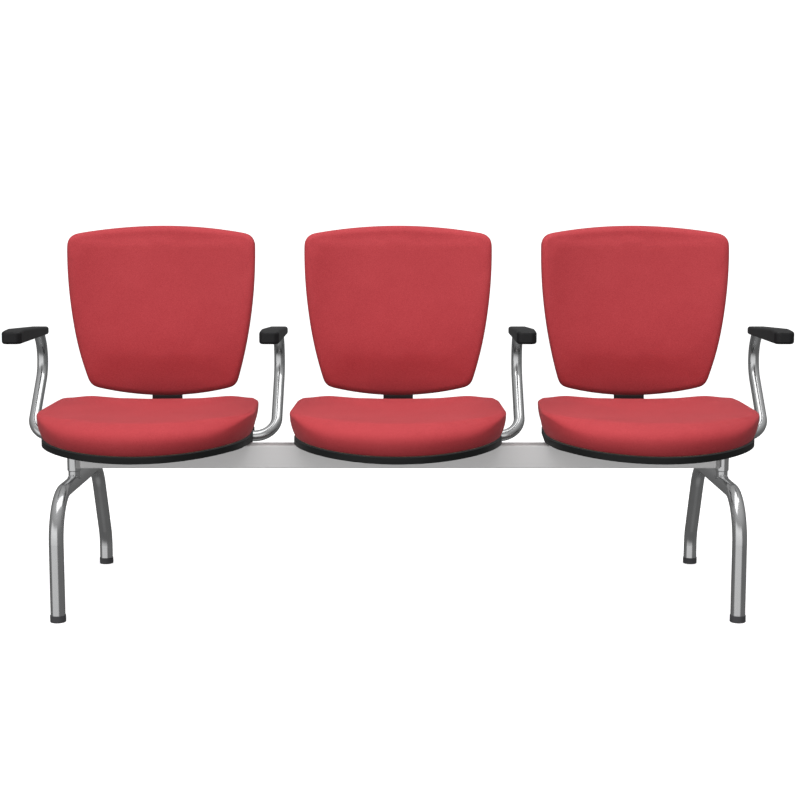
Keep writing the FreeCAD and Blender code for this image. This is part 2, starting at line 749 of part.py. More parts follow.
def seat_screw_places():
    across = size("bracket_width") / 2 - size("rail_width") / 2
    along = size("seat_screw_spacing") / 2
    return [(a * across, b * along) for a in (-1, 1) for b in (-1, 1)]


def make_seat_bracket(chair):
    """A folded plate on the beam, with a lip behind it and two rails that carry the seat board."""
    body = new_body("seat_bracket_" + chair)
    plate = new_sketch(body, "XY_Plane", "bracket_plate")
    draw_rectangle(plate, "bracket_width", "bracket_depth")
    pad(body, plate, "bracket_plate")
    rails = new_sketch(body, "XY_Plane", "bracket_rails")
    for side in (-1, 1):
        x = "%d * (bracket_width - rail_width) / 2" % side
        draw_rectangle(rails, "rail_width", "bracket_depth", x)
    pad(body, rails, "board_top - board_thick - 2 * gap - beam_base - beam_side")
    lip = new_sketch(body, "XY_Plane", "bracket_lip")
    draw_rectangle(lip, "bracket_width", "bracket_plate", "0", "beam_side / 2 + gap + bracket_plate / 2")
    pad(body, lip, "bracket_lip", reverse=True)
    bolt_holes = new_sketch(body, "XZ_Plane", "lip_holes")
    for side in (-1, 1):
        x = "%d * chair_bolt_spacing / 2" % side
        draw_circle(bolt_holes, "bolt_shank + 2 * hole_play", x, "-beam_side / 2")
    pocket(body, bolt_holes, "beam_side")
    screw_holes = new_sketch(body, "XY_Plane", "rail_holes")
    for a in (-1, 1):
        for b in (-1, 1):
            x = "%d * (bracket_width - rail_width) / 2" % a
            y = "%d * seat_screw_spacing / 2" % b
            draw_circle(screw_holes, "screw_shank + 2 * hole_play", x, y)
    pocket(body, screw_holes, "beam_side", reverse=True)
    place(body, chair_x(chair), z="beam_base + beam_side")


def back_edge_y(height):
    """Y of the back's front surface at its side edges."""
    lean = math.tan(math.radians(size("back_lean")))
    return size("back_edge_reach") + (height - size("lumbar_height")) * lean


def back_rear_y(height):
    """Y of the back pad's rear surface, at its middle."""
    return back_edge_y(height) + size("back_hollow") + size("back_pad_middle")


def back_outline(inset):
    """The back's outline from the front, as a deep solid block."""
    reach = size("back_edge_reach") - BLOCK_AHEAD
    half = size("back_half_width") - inset
    side_radius = size("back_side_radius") - inset
    wide = size("back_wide_height")
    top = size("back_top") - inset
    top_radius = size("back_top_radius") - inset
    base = size("back_base") + inset
    base_radius = size("back_base_radius") - inset
    side_x = half - side_radius

    def at(x, z):
        return vector(x, reach, z)

    def meet(centre_z, radius, upward):
        """Where the right side's circle crosses a circle centred on the middle line."""
        low = 0.0
        high = half
        for _ in range(HALVINGS):
            x = (low + high) / 2
            z = centre_z + upward * math.sqrt(radius * radius - x * x)
            side = side_x + math.sqrt(side_radius * side_radius - (z - wide) ** 2)
            if x < side:
                low = x
            else:
                high = x
        return x, z

    top_x, top_z = meet(top - top_radius, top_radius, 1)
    base_x, base_z = meet(base + base_radius, base_radius, -1)
    middle_z = (top_z + base_z) / 2
    middle_x = side_x + math.sqrt(side_radius * side_radius - (middle_z - wide) ** 2)
    edges = [
        Part.Arc(at(-top_x, top_z), at(0, top), at(top_x, top_z)),
        Part.Arc(at(top_x, top_z), at(middle_x, middle_z), at(base_x, base_z)),
        Part.Arc(at(base_x, base_z), at(0, base), at(-base_x, base_z)),
        Part.Arc(at(-base_x, base_z), at(-middle_x, middle_z), at(-top_x, top_z)),
    ]
    face = Part.Face(Part.Wire([edge.toShape() for edge in edges]))
    block = face.extrude(vector(0, BLOCK_DEPTH, 0))
    corners = [edge for edge in block.Edges if edge.BoundBox.YLength > BLOCK_DEPTH / 2]
    upper = [edge for edge in corners if edge.CenterOfMass.z > middle_z]
    block = block.makeFillet(size("back_top_corner") - inset / 2, upper)
    corners = [edge for edge in block.Edges if edge.BoundBox.YLength > BLOCK_DEPTH / 2]
    lower = [edge for edge in corners if edge.CenterOfMass.z < middle_z]
    return block.makeFillet(size("back_base_corner") - inset / 2, lower)


def back_section(height, front, rear):
    """A level slice of a curved panel: each face is (Y at the side edges, Y at the middle)."""
    half = size("back_half_width") + SLICE_MARGIN

    def at(side, y):
        return vector(side * half, y, height)

    edges = [
        Part.Arc(at(-1, front[0]), at(0, front[1]), at(1, front[0])),
        Part.LineSegment(at(1, front[0]), at(1, rear[0])),
        Part.Arc(at(1, rear[0]), at(0, rear[1]), at(-1, rear[0])),
        Part.LineSegment(at(-1, rear[0]), at(-1, front[0])),
    ]
    return Part.Wire([edge.toShape() for edge in edges])


def back_sheet(start, end):
    """A curved, leaning sheet behind the back pad, between two distances from its rear surface."""
    sections = []
    for height in (size("back_base") - PAST, size("back_top") + PAST):
        rear = back_rear_y(height)
        edge = back_edge_y(height) + size("back_pad_edge")
        sections.append(back_section(height, (edge + start, rear + start), (edge + end, rear + end)))
    return Part.makeLoft(sections, True, True)


def make_back_cushion(chair):
    """The back pad: hollow from side to side, fuller at the lumbar, drawn back at its bottom."""
    base = size("back_base")
    top = size("back_top")
    lumbar = size("lumbar_height")
    bulge = size("lumbar_bulge")
    recede = size("base_recede")
    # At each height: how far the pad's front stands forward of the plain hollow, in the middle.
    levels = [
        (base - PAST, -2.6 * recede),
        (base + 0.2 * (lumbar - base), -0.3 * recede),
        (lumbar, bulge),
        (lumbar + 0.4 * (top - lumbar), 0.25 * bulge),
        (top + PAST, -0.2 * bulge),
    ]
    sections = []
    for height, forward in levels:
        edge = back_edge_y(height)
        middle = edge + size("back_hollow") - forward
        front = (edge - EDGE_SHARE * forward, middle)
        rear = (edge + size("back_pad_edge"), back_rear_y(height))
        sections.append(back_section(height, front, rear))
    panel = Part.makeLoft(sections, True, False)
    pad_body = back_outline(0).common(panel)
    pad_body = round_back_edges(pad_body)
    node_from("back_cushion_" + chair, pad_body, chair_x(chair))


def round_back_edges(pad_body):
    """Round the front and rear edges that run round the pad."""
    solid = largest_solid(pad_body)
    faces = sorted(solid.Faces, key=lambda face: face.Area, reverse=True)[:2]
    faces.sort(key=lambda face: face.CenterOfMass.y)
    front_edges = faces[0].OuterWire.Edges
    rounded = solid.makeFillet(size("back_front_round"), front_edges)
    faces = sorted(rounded.Faces, key=lambda face: face.Area, reverse=True)[:2]
    faces.sort(key=lambda face: face.CenterOfMass.y)
    rear_edges = faces[1].OuterWire.Edges
    return rounded.makeFillet(size("back_rear_round"), rear_edges)


def make_back_board(chair):
    gap = size("gap")
    board = back_outline(size("back_board_inset"))
    board = board.common(back_sheet(gap, gap + size("back_board_thick")))
    for hole in back_screw_holes():
        board = board.cut(hole)
    node_from("back_board_" + chair, board, chair_x(chair))


def shell_depth():
    """Depth of the back's rear cover, from the pad's rear surface to its own."""
    return 2 * size("gap") + size("back_board_thick") + size("back_shell_wall")


def make_back_shell(chair):
    wall = size("back_shell_wall")
    inset = size("back_shell_inset")
    outer = back_outline(inset).common(back_sheet(size("gap"), shell_depth()))
    inner = back_outline(inset + wall).common(back_sheet(-wall, shell_depth() - wall))
    shell = outer.cut(inner)
    for hole in back_screw_holes():
        shell = shell.cut(hole)
    node_from("back_shell_" + chair, shell, chair_x(chair))


def bar_front_y(height):
    """Y of the bar's front face where it runs up the back."""
    return back_rear_y(height) + shell_depth() + size("gap")


def make_back_bar(chair):
    """The flat steel bar from the seat bracket to the back, one bend."""
    thick = size("bar_thick")
    half = size("bar_width") / 2
    level = size("beam_base") + size("beam_side") + size("bracket_plate") + thick / 2
    top = size("lumbar_height") + size("bar_past_lumbar")
    lean = math.radians(size("back_lean"))
    shift = thick / 2 / math.cos(lean)
    corner = vector(0, bar_front_y(level) + shift, level)
    upper = vector(0, bar_front_y(top) + shift, top)
    path = rounded_path([vector(0, size("bar_front"), level), corner, upper], [size("bar_bend")])
    start = vector(0, size("bar_front"), level)
    section = Part.makePolygon([
        start + vector(-half, 0, -thick / 2),
        start + vector(half, 0, -thick / 2),
        start + vector(half, 0, thick / 2),
        start + vector(-half, 0, thick / 2),
        start + vector(-half, 0, -thick / 2),
    ])
    bar = swept(path, section)
    for hole in back_screw_holes():
        bar = bar.cut(hole)
    node_from("back_bar_" + chair, bar, chair_x(chair))


def back_screw_lines():
    """Where each back screw meets the bar's rear face, and its direction into the board."""
    lean = math.radians(size("back_lean"))
    direction = vector(0, -math.cos(lean), math.sin(lean))
    lines = []
    for share in (0, 1):
        height = size("lumbar_height") - size("back_screw_spacing") / 2 + share * size("back_screw_spacing")
        y = bar_front_y(height) + size("bar_thick") / math.cos(lean)
        lines.append((vector(0, y, height), direction))
    return lines


def back_screw_holes():
    radius = size("screw_shank") / 2 + size("gap")
    return [
        Part.makeCylinder(radius, 2 * PAST, point - direction * PAST, direction)
        for point, direction in back_screw_lines()
    ]


def make_bar_cover(chair):
    """The plastic cover on the bar: a sleeve below the back, open to the front behind it."""
    lean = size("back_lean")
    wall = size("cover_wall")
    gap = size("gap")
    width = size("cover_width")
    low = size("cover_from")
    bar_top = size("lumbar_height") + size("bar_past_lumbar")
    length = (bar_top + wall + gap - low) / math.cos(math.radians(lean))
    thick = size("bar_thick")
    room = size("screw_head_thick") + 2 * gap
    half_bar = size("bar_width") / 2 + gap
    outer = box(vector(-width / 2, -wall - gap, 0), vector(width / 2, thick + room + wall, length))
    upright = [edge for edge in outer.Edges if edge.BoundBox.ZLength > length / 2]
    outer = outer.makeFillet(wall, upright)
    cavity = box(vector(-half_bar, -gap, -wall), vector(half_bar, thick + room, length - wall))
    sleeve = (size("back_base") - size("cover_below_back") - low) / math.cos(math.radians(lean))
    open_front = box(vector(-width, -PAST, sleeve), vector(width, -gap / 2, length + wall))
    cover = outer.cut(cavity).cut(open_front)
    rotation = FreeCAD.Rotation(FreeCAD.Vector(1, 0, 0), -lean)
    cover.Placement = FreeCAD.Placement(vector(0, bar_front_y(low), low), rotation)
    node_from("bar_cover_" + chair, cover.removeSplitter(), chair_x(chair))


# The arms


def make_arm_tube(arm):
    chair, side = ARMS[arm]
    top_lean = math.tan(math.radians(size("arm_top_lean")))
    root = vector(side * size("arm_block_out"), size("arm_root_reach"), size("arm_root_height"))
    out = side * size("arm_offset")
    foot = vector(out, root.y, root.z)
    end_z = size("pad_height")
    elbow_z = end_z - size("arm_elbow_drop")
    elbow = vector(out, size("arm_elbow_reach"), elbow_z)
    past = size("arm_tube")
    end = vector(out, elbow.y - (end_z + past - elbow_z) * top_lean, end_z + past)
    path = rounded_path([root, foot, elbow, end], [size("arm_side_bend"), size("arm_elbow_bend")])
    tube = tube_along(path, size("arm_tube"), size("arm_wall"))
    high = end_z + 2 * past
    above = box(vector(out - past, end.y - PAST, end_z), vector(out + past, elbow.y + PAST, high))
    node_from("arm_tube_" + arm, tube.cut(above), chair_x(chair))


def make_arm_bracket(arm):
    """The plate under the seat board and the block that the arm tube is welded to."""
    chair, side = ARMS[arm]
    body = new_body("arm_bracket_" + arm)
    plate = new_sketch(body, "XY_Plane", "plate_outline")
    middle = "%d * (arm_plate_in + arm_block_in) / 2" % side
    draw_rectangle(plate, "arm_block_in - arm_plate_in", "arm_plate_width", middle, "arm_root_reach")
    pad(body, plate, "arm_plate_thick")
    block = new_sketch(body, "XY_Plane", "block_outline")
    block_middle = "%d * (arm_block_in + arm_block_out) / 2" % side
    draw_rectangle(block, "arm_block_out - arm_block_in", "arm_block_width", block_middle, "arm_root_reach")
    pad(body, block, "board_thick")
    lower = new_sketch(body, "XY_Plane", "block_lower")
    draw_rectangle(lower, "arm_block_out - arm_block_in", "arm_block_width", block_middle, "arm_root_reach")
    base = "board_top - board_thick - gap - arm_plate_thick"
    pad(body, lower, base + " - arm_block_base", reverse=True)
    holes = new_sketch(body, "XY_Plane", "plate_holes")
    for share in ARM_SCREW_SHARES:
        hole_x = "%d * (arm_plate_in + %s * (arm_block_in - arm_plate_in))" % (side, share)
        draw_circle(holes, "screw_shank + 2 * hole_play", hole_x, "arm_root_reach")
    pocket(body, holes, "beam_side", reverse=True)
    place(body, chair_x(chair), z=base)


def make_arm_pad(arm):
    """The moulded pad: high near the front, thinner to the rear, rounded all over."""
    chair, side = ARMS[arm]
    front = size("pad_front_reach")
    rear = size("pad_rear_reach")
    base = size("pad_height")
    crown = size("pad_front_thick")
    half = size("pad_width") / 2
    points = [
        vector(-half, front, base),
        vector(-half, front, base + crown - size("pad_nose_drop")),
        vector(-half, front + size("pad_crown_reach"), base + crown),
        vector(-half, rear, base + size("pad_rear_thick")),
        vector(-half, rear, base),
    ]
    middle = vector(-half, front + size("pad_crown_reach") / 2, base + crown - size("pad_nose_drop") / 4)
    edges = [
        Part.LineSegment(points[0], points[1]),
        Part.Arc(points[1], middle, points[2]),
        Part.LineSegment(points[2], points[3]),
        Part.LineSegment(points[3], points[4]),
        Part.LineSegment(points[4], points[0]),
    ]
    face = Part.Face(Part.Wire([edge.toShape() for edge in edges]))
    body = face.extrude(vector(2 * half, 0, 0))
    upright = [edge for edge in body.Edges if edge.BoundBox.YLength < TOUCH and edge.BoundBox.XLength < TOUCH]
    body = body.makeFillet(size("pad_end_round"), upright)
    crown_y = front + size("pad_crown_reach")
    rims = []
    for edge in body.Edges:
        upright = edge.BoundBox.ZLength > size("pad_rear_thick") / 2 and edge.BoundBox.YLength < TOUCH
        across_crown = abs(edge.CenterOfMass.y - crown_y) < TOUCH
        if not upright and not across_crown:
            rims.append(edge)
    body = body.makeFillet(size("pad_edge_round"), rims)
    body = body.cut(strip_space(size("gap")))
    hole = size("screw_shank") / 2 + size("gap")
    for y in pad_screw_places():
        body = body.cut(Part.makeCylinder(hole, size("pad_screw_length"), vector(0, y, base)))
    node_from("arm_pad_" + arm, body, "%s + %d * arm_offset" % (chair_x(chair), side))


def strip_space(play):
    half = size("strip_width") / 2 + play
    rear = size("pad_rear_reach") - size("strip_rear_gap")
    low = vector(-half, rear - size("strip_length") - play, size("pad_height") - play)
    high = vector(half, rear + play, size("pad_height") + size("strip_thick") + play)
    return box(low, high)


def make_pad_strips():
    """The steel strip under each pad, welded to the top of the arm tube."""
    strips = []
    for chair, side in ARMS.values():
        x = CHAIRS[chair] * size("seat_pitch") + side * size("arm_offset")
        strip = strip_space(0)
        for y in pad_screw_places():
            hole = size("screw_shank") / 2 + size("hole_play")
            strip = strip.cut(Part.makeCylinder(hole, PAST, vector(0, y, size("pad_height"))))
        strip.translate(vector(x, 0, 0))
        strips.append(strip)
    node_from("pad_strips", Part.makeCompound(strips))


def pad_screw_places():
    front = size("pad_rear_reach") - size("strip_rear_gap") - size("strip_length")
    return [front + share * size("strip_length") for share in PAD_SCREW_SHARES]


# The fasteners


def bolt(seat, direction):
    """A hexagon bolt whose head rests on the point seat and whose shank runs along direction."""
    across = size("bolt_head")
    corner = across / math.sqrt(3)
    angles = [k * math.pi / 3 for k in range(7)]
    points = [vector(corner * math.cos(angle), corner * math.sin(angle)) for angle in angles]
    head = Part.Face(Part.makePolygon(points)).extrude(vector(0, 0, -size("bolt_head_thick")))
    shank = Part.makeCylinder(size("bolt_shank") / 2, size("bolt_length"))
    return aimed(head.fuse(shank), seat, direction)


def screw(seat, direction, length):
    """A pan head screw whose head rests on the point seat."""
    thick = size("screw_head_thick")
    head = Part.makeCylinder(size("screw_head") / 2, thick, vector(0, 0, -thick))
    rim = [edge for edge in head.Edges if abs(edge.BoundBox.ZMax + thick) < TOUCH]
    head = head.makeFillet(thick / 2, rim)
    shank = Part.makeCylinder(size("screw_shank") / 2, length)
    return aimed(head.fuse(shank), seat, direction)


def aimed(shape, seat, direction):
    shape.Placement = FreeCAD.Placement(seat, FreeCAD.Rotation(vector(0, 0, 1), direction))
    return shape


def make_beam_bolts():
    """All bolts in the beam's rear wall: two for each chair and one for each leg."""
    height = size("beam_base") + size("beam_side") / 2
    wall = size("beam_side") / 2
    inward = vector(0, -1, 0)
    bolts = []
    for chair in CHAIRS.values():
        for side in (-1, 1):
            x = chair * size("seat_pitch") + side * size("chair_bolt_spacing") / 2
            behind = wall + 2 * size("gap") + size("bracket_plate")
            bolts.append(bolt(vector(x, behind, height), inward))
    for side in SIDES.values():
        end = size("leg_offset") - size("post_tube") / 2 - size("flange_plate") - size("leg_bolt_inset")
        bolts.append(bolt(vector(side * end, wall + size("gap"), height), inward))
    node_from("beam_bolts", Part.makeCompound(bolts))


def make_seat_screws():
    """The screws from each bracket up into its seat board."""
    upward = vector(0, 0, 1)
    seat = size("beam_base") + size("beam_side") - size("gap")
    length = size("board_top") - size("screw_stop") - seat
    screws = []
    for chair in CHAIRS.values():
        for x, y in seat_screw_places():
            screws.append(screw(vector(x + chair * size("seat_pitch"), y, seat), upward, length))
    node_from("seat_screws", Part.makeCompound(screws))


def make_back_screws():
    screws = []
    length = size("bar_thick") + shell_depth()
    for chair in CHAIRS.values():
        for point, direction in back_screw_lines():
            seat = point - direction * size("gap") + vector(chair * size("seat_pitch"), 0, 0)
            screws.append(screw(seat, direction, length))
    node_from("back_screws", Part.makeCompound(screws))


def make_arm_screws():
    upward = vector(0, 0, 1)
    seat = size("board_top") - size("board_thick") - size("arm_plate_thick") - 2 * size("gap")
    length = size("board_top") - size("screw_stop") - seat
    screws = []
    for chair, side in ARMS.values():
        for reach in arm_screw_places(side):
            x = CHAIRS[chair] * size("seat_pitch") + reach
            screws.append(screw(vector(x, size("arm_root_reach"), seat), upward, length))
    node_from("arm_screws", Part.makeCompound(screws))


def make_pad_screws():
    upward = vector(0, 0, 1)
    seat = size("pad_height") - size("gap")
    screws = []
    for chair, side in ARMS.values():
        x = CHAIRS[chair] * size("seat_pitch") + side * size("arm_offset")
        for y in pad_screw_places():
            screws.append(screw(vector(x, y, seat), upward, size("pad_screw_length")))
    node_from("pad_screws", Part.makeCompound(screws))


make_beam()
make_post_caps()
for side_name in SIDES:
    make_flange(side_name)
    make_leg(side_name)
    for end_name in ("front", "rear"):
        make_foot(side_name, end_name)
for chair in CHAIRS:
    make_seat_cushion(chair)
    make_seat_board(chair)
    make_seat_band(chair)
    make_seat_shell(chair)
    make_seat_bracket(chair)
    make_back_cushion(chair)
    make_back_board(chair)
    make_back_shell(chair)
    make_back_bar(chair)
    make_bar_cover(chair)
for arm in ARMS:
    make_arm_tube(arm)
    make_arm_bracket(arm)
    make_arm_pad(arm)
make_pad_strips()
make_beam_bolts()
make_seat_screws()
make_back_screws()
make_arm_screws()
make_pad_screws()
doc.recompute()

for item in doc.Objects:
    if "Invalid" in item.State or "Error" in item.State:
        raise RuntimeError("%s did not build: %s" % (item.Label, item.State))
for node in NODES:
    if node.Shape.isNull() or not node.Shape.isValid() or not node.Shape.Solids:
        raise RuntimeError("%s has no valid solid" % node.Label)

os.makedirs("parts", exist_ok=True)
for node in NODES:
    node.Shape.exportStep("parts/%s.step" % node.Label)
print("%d nodes" % len(NODES))
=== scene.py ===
import bmesh
import bpy
import json
import math
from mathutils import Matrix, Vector
from mathutils.kdtree import KDTree


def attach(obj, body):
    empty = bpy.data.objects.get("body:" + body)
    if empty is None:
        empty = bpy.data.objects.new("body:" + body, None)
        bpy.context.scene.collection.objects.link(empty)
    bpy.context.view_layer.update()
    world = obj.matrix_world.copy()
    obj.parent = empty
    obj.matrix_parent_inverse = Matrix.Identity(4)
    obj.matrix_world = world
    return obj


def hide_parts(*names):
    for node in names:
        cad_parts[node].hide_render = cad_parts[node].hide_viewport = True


# Looks of the beam seating. Metres, in the part's own frame: +Z up, the chairs face -Y.

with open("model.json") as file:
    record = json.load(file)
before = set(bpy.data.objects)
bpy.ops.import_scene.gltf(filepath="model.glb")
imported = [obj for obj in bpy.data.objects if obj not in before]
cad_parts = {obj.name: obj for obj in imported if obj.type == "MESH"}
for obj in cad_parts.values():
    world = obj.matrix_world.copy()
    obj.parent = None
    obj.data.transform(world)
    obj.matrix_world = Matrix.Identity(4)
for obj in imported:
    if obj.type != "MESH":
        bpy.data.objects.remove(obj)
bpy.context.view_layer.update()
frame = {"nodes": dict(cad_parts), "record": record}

AXIS_Y = -0.0580375
CHAIRS = {"left": -0.56, "centre": 0.0, "right": 0.56}
LEGS = {"left": -0.732, "right": 0.732}

# The camera of the photograph.
LENS_MM = 72.0
SENSOR_MM = 36.0
CAMERA_REACH = 60.0
CAMERA_PLACE = (0.0045, AXIS_Y - 3.571, 0.888)
CAMERA_TILT = math.radians(6.892)

# The seat. Its outline is seen from above, and y is counted from the beam's axis.
SEAT_RADIUS = 0.232
SEAT_CENTRE = -0.028
SEAT_TAPER = math.radians(2.2)
SEAT_REAR = 0.180
SEAT_CORNER = 0.060
SEAT_CORNER_LEAST = 0.012
BOARD_TOP = 0.379
BOARD_LEVEL_FROM = -0.040
BOARD_DROP = 0.014
BOARD_GAP = 0.0006
SEAT_BASE_INSETS = (0.16, 0.08, 0.02)
SEAT_BULGE = 0.0095
SEAT_TUCK = 0.004

# How high up the seat is fullest, as a share of its height, and how far its top edge rolls in:
# at its sides, and in front, which begins and is complete at these distances ahead of the beam.
SIDE_FULLEST = 0.90
FRONT_FULLEST_LESS = 0.40
SIDE_ROLL = 0.008
FRONT_ROLL = 0.050
FRONT_FROM = 0.08
FRONT_FULL_FROM = 0.22

# The seat's top: a plane that falls to the front, dished, with a rim that dips at the rear.
SEAT_RIM = 0.4425
SEAT_FALL = math.tan(math.radians(1.5))
REAR_DIP = 0.006
REAR_DIP_HALF_WIDTH = 0.16
REAR_DIP_FROM = 0.08
REAR_DIP_FULL_FROM = 0.16
DISH_Y = 0.012
DISH_DEPTH = 0.0125

# The back. Its outline is seen from the front, and y is counted from the beam's axis.
BACK_HALF = 0.22175
BACK_WIDE_Z = 0.7808
BACK_SIDE_RADIUS = 1.070
BACK_TOP = 0.8428
BACK_TOP_RADIUS = 1.150
BACK_BASE = 0.4368
BACK_BASE_RADIUS = 0.587
BACK_TOP_CORNER = 0.027
BACK_BASE_CORNER = 0.0265
BACK_CORNER_LEAST = 0.006
BACK_MIDDLE_Z = 0.64
BACK_EDGE_Y = 0.186
LUMBAR_Z = 0.5458
BACK_LEAN = math.tan(math.radians(3.95))
BACK_HOLLOW = 0.050
BACK_HOLLOW_HALF = BACK_HALF + 0.012
BACK_EDGE_THICK = 0.034
BACK_MIDDLE_THICK = 0.040
LUMBAR_BULGE = 0.012
LUMBAR_SPREAD = 0.15
RECEDE_FROM = 0.590
BASE_RECEDE = 0.022
BACK_REAR_INSET = 0.012
BACK_REAR_SHARES = (0.3, 0.65)
BACK_REAR_ROUND = 0.007
BACK_FRONT_ROUND = 0.015

# The pads' mesh, and how it is blown up from inside.
PAD_POINTS = 144
VOXEL = 0.006
SEAT_SWELL_MOST = 0.002
BACK_SWELL_MOST = 0.004
SWELL_FRAMES = 20
SWELL_NEIGHBOURS = 24
SWELL_CLOTH = {
    "quality": 5,
    "mass": 0.3,
    "tension_stiffness": 15,
    "compression_stiffness": 15,
    "shear_stiffness": 5,
    "bending_stiffness": 0.5,
    "use_pressure": True,
    "uniform_pressure_force": 4,
}

# Where a pad is held while it is blown up: the seat's below a height near its board, the back's
# within a depth of its rear.
SEAT_HELD_TO = BOARD_TOP - 0.004
SEAT_FREE_FROM = BOARD_TOP + 0.012
BACK_HELD_DEPTH = 0.012
BACK_HELD_FADE = 0.02

# Finishes.
WEAVE_PITCH = 0.0016
PLY_PITCH = 0.0028
CHROME_TINT = (0.66, 0.665, 0.67)
BEVEL_WIDTHS = {
    "seat_band_": 0.0025,
    "back_shell_": 0.0012,
    "seat_bracket_": 0.0008,
    "back_bar_": 0.0008,
}
ARM_PAD_BEVEL = 0.003
FOOT_BEVEL = 0.0008
BEVEL_SHARPER_THAN = math.radians(40)

# The weld bead round each post's neck.
WELD_NECK_RADIUS = 0.0132
WELD_ARCH_RADIUS = 0.0159
WELD_ARCH_Z = 0.270
WELD_BEAD = 0.0021
WELD_RIPPLE = 0.0003

# The room.
FLOOR_Z = -0.0005
FLOOR_FLAT = 6.5
FLOOR_CURVE = 2.5
WALL_TOP = 9.0
FLOOR_GLOW = 0.75

# The sky's brightness from straight down, 0, to straight up, 1.
SKY_LEVELS = (
    (0.0, 0.26), (0.08, 0.15), (0.3, 0.15), (0.42, 0.20),
    (0.5, 0.215), (0.62, 0.26), (0.85, 0.50), (1.0, 0.6),
)
SKY_BEHIND = 0.75
STRIP_TOWARDS = (-0.391, -0.921, 0.0)
STRIP_GLOW = 3.1


# Shapes


def smooth(low, high, value):
    """0 below low, 1 above high, and an S curve between."""
    share = min(max((value - low) / (high - low), 0.0), 1.0)
    return share * share * (3 - 2 * share)


def arc_points(centre, radius, start, end, count):
    """Points on an arc, without its last one."""
    points = []
    for index in range(count):
        angle = start + (end - start) * index / count
        x = centre[0] + radius * math.cos(angle)
        y = centre[1] + radius * math.sin(angle)
        points.append((x, y))
    return points


def resample(points, count):
    """Even points round a closed outline, from its first point."""
    lengths = [0.0]
    for index, point in enumerate(points):
        following = points[(index + 1) % len(points)]
        lengths.append(lengths[-1] + math.dist(point, following))
    result = []
    index = 0
    for step in range(count):
        target = lengths[-1] * step / count
        while lengths[index + 1] < target:
            index += 1
        share = (target - lengths[index]) / (lengths[index + 1] - lengths[index])
        start = points[index]
        end = points[(index + 1) % len(points)]
        x = start[0] + (end[0] - start[0]) * share
        y = start[1] + (end[1] - start[1]) * share
        result.append((x, y))
    return result


def seat_outline(grow, count):
    """The seat's outline from above, from the middle of its rear, as (x, y)."""
    radius = SEAT_RADIUS + grow
    rear = SEAT_REAR + grow
    corner = max(SEAT_CORNER + grow, SEAT_CORNER_LEAST)
    corner_y = rear - corner
    narrowed = (corner_y - SEAT_CENTRE) * math.sin(SEAT_TAPER)
    corner_x = (radius - corner - narrowed) / math.cos(SEAT_TAPER)
    left = math.pi - SEAT_TAPER
    right = 2 * math.pi + SEAT_TAPER
    points = [(0.0, rear)]
    points += arc_points((-corner_x, corner_y), corner, math.pi / 2, left, 12)
    points += arc_points((0.0, SEAT_CENTRE), radius, left, right, 90)
    points += arc_points((corner_x, corner_y), corner, SEAT_TAPER, math.pi / 2, 12)
    points.append((corner_x, rear))
    return resample(points, count)


def board_z(y):
    """Height of the seat board's top: level at the rear, dropping to the front."""
    if y > BOARD_LEVEL_FROM:
        return BOARD_TOP
    run = BOARD_LEVEL_FROM - (SEAT_CENTRE - SEAT_RADIUS)
    radius = (run * run + BOARD_DROP * BOARD_DROP) / (2 * BOARD_DROP)
    along = BOARD_LEVEL_FROM - y
    return BOARD_TOP - radius + math.sqrt(radius * radius - along * along)


def seat_plane(y):
    """Height of the seat's rim before it dips."""
    return SEAT_RIM - (SEAT_REAR - y) * SEAT_FALL


def rings_mesh(name, rings, closed=True):
    """A mesh of rings with equal counts; closed fills both ends with a centre point."""
    count = len(rings[0])
    mesh = bmesh.new()
    rows = [[mesh.verts.new(point) for point in ring] for ring in rings]
    for low, high in zip(rows, rows[1:]):
        for index in range(count):
            following = (index + 1) % count
            mesh.faces.new((low[index], low[following], high[following], high[index]))
    if closed:
        for row, flip in ((rows[0], True), (rows[-1], False)):
            centre = mesh.verts.new(sum((vert.co for vert in row), Vector()) / count)
            for index in range(count):
                corners = (row[index], row[(index + 1) % count], centre)
                mesh.faces.new(corners[::-1] if flip else corners)
    bmesh.ops.recalc_face_normals(mesh, faces=mesh.faces)
    data = bpy.data.meshes.new(name)
    mesh.to_mesh(data)
    mesh.free()
    data.shade_smooth()
    return data


def piece_from(name, data, place=(0.0, 0.0, 0.0)):
    """An object of this mesh, in the scene."""
    piece = bpy.data.objects.new(name, data)
    piece.location = place
    bpy.context.scene.collection.objects.link(piece)
    return piece


def seat_side(front):
    """The seat pad's side from its tucked edge to its rim: (outward, share of the height).

    front is 0 at the sides, which are fullest high up, and 1 in front, which is fullest at mid
    height and rolls over.
    """
    fullest = SIDE_FULLEST - FRONT_FULLEST_LESS * front
    side = []
    steps = 8
    for index in range(steps):
        share = index / steps
        outward = SEAT_BULGE - (SEAT_BULGE + SEAT_TUCK) * (1 - share) ** 2
        side.append((outward, fullest * share))
    roll = SIDE_ROLL + (FRONT_ROLL - SIDE_ROLL) * front
    steps = 10
    for index in range(steps + 1):
        angle = math.pi / 2 * index / steps
        outward = SEAT_BULGE - roll * (1 - math.cos(angle))
        side.append((outward, fullest + (1 - fullest) * math.sin(angle)))
    return side


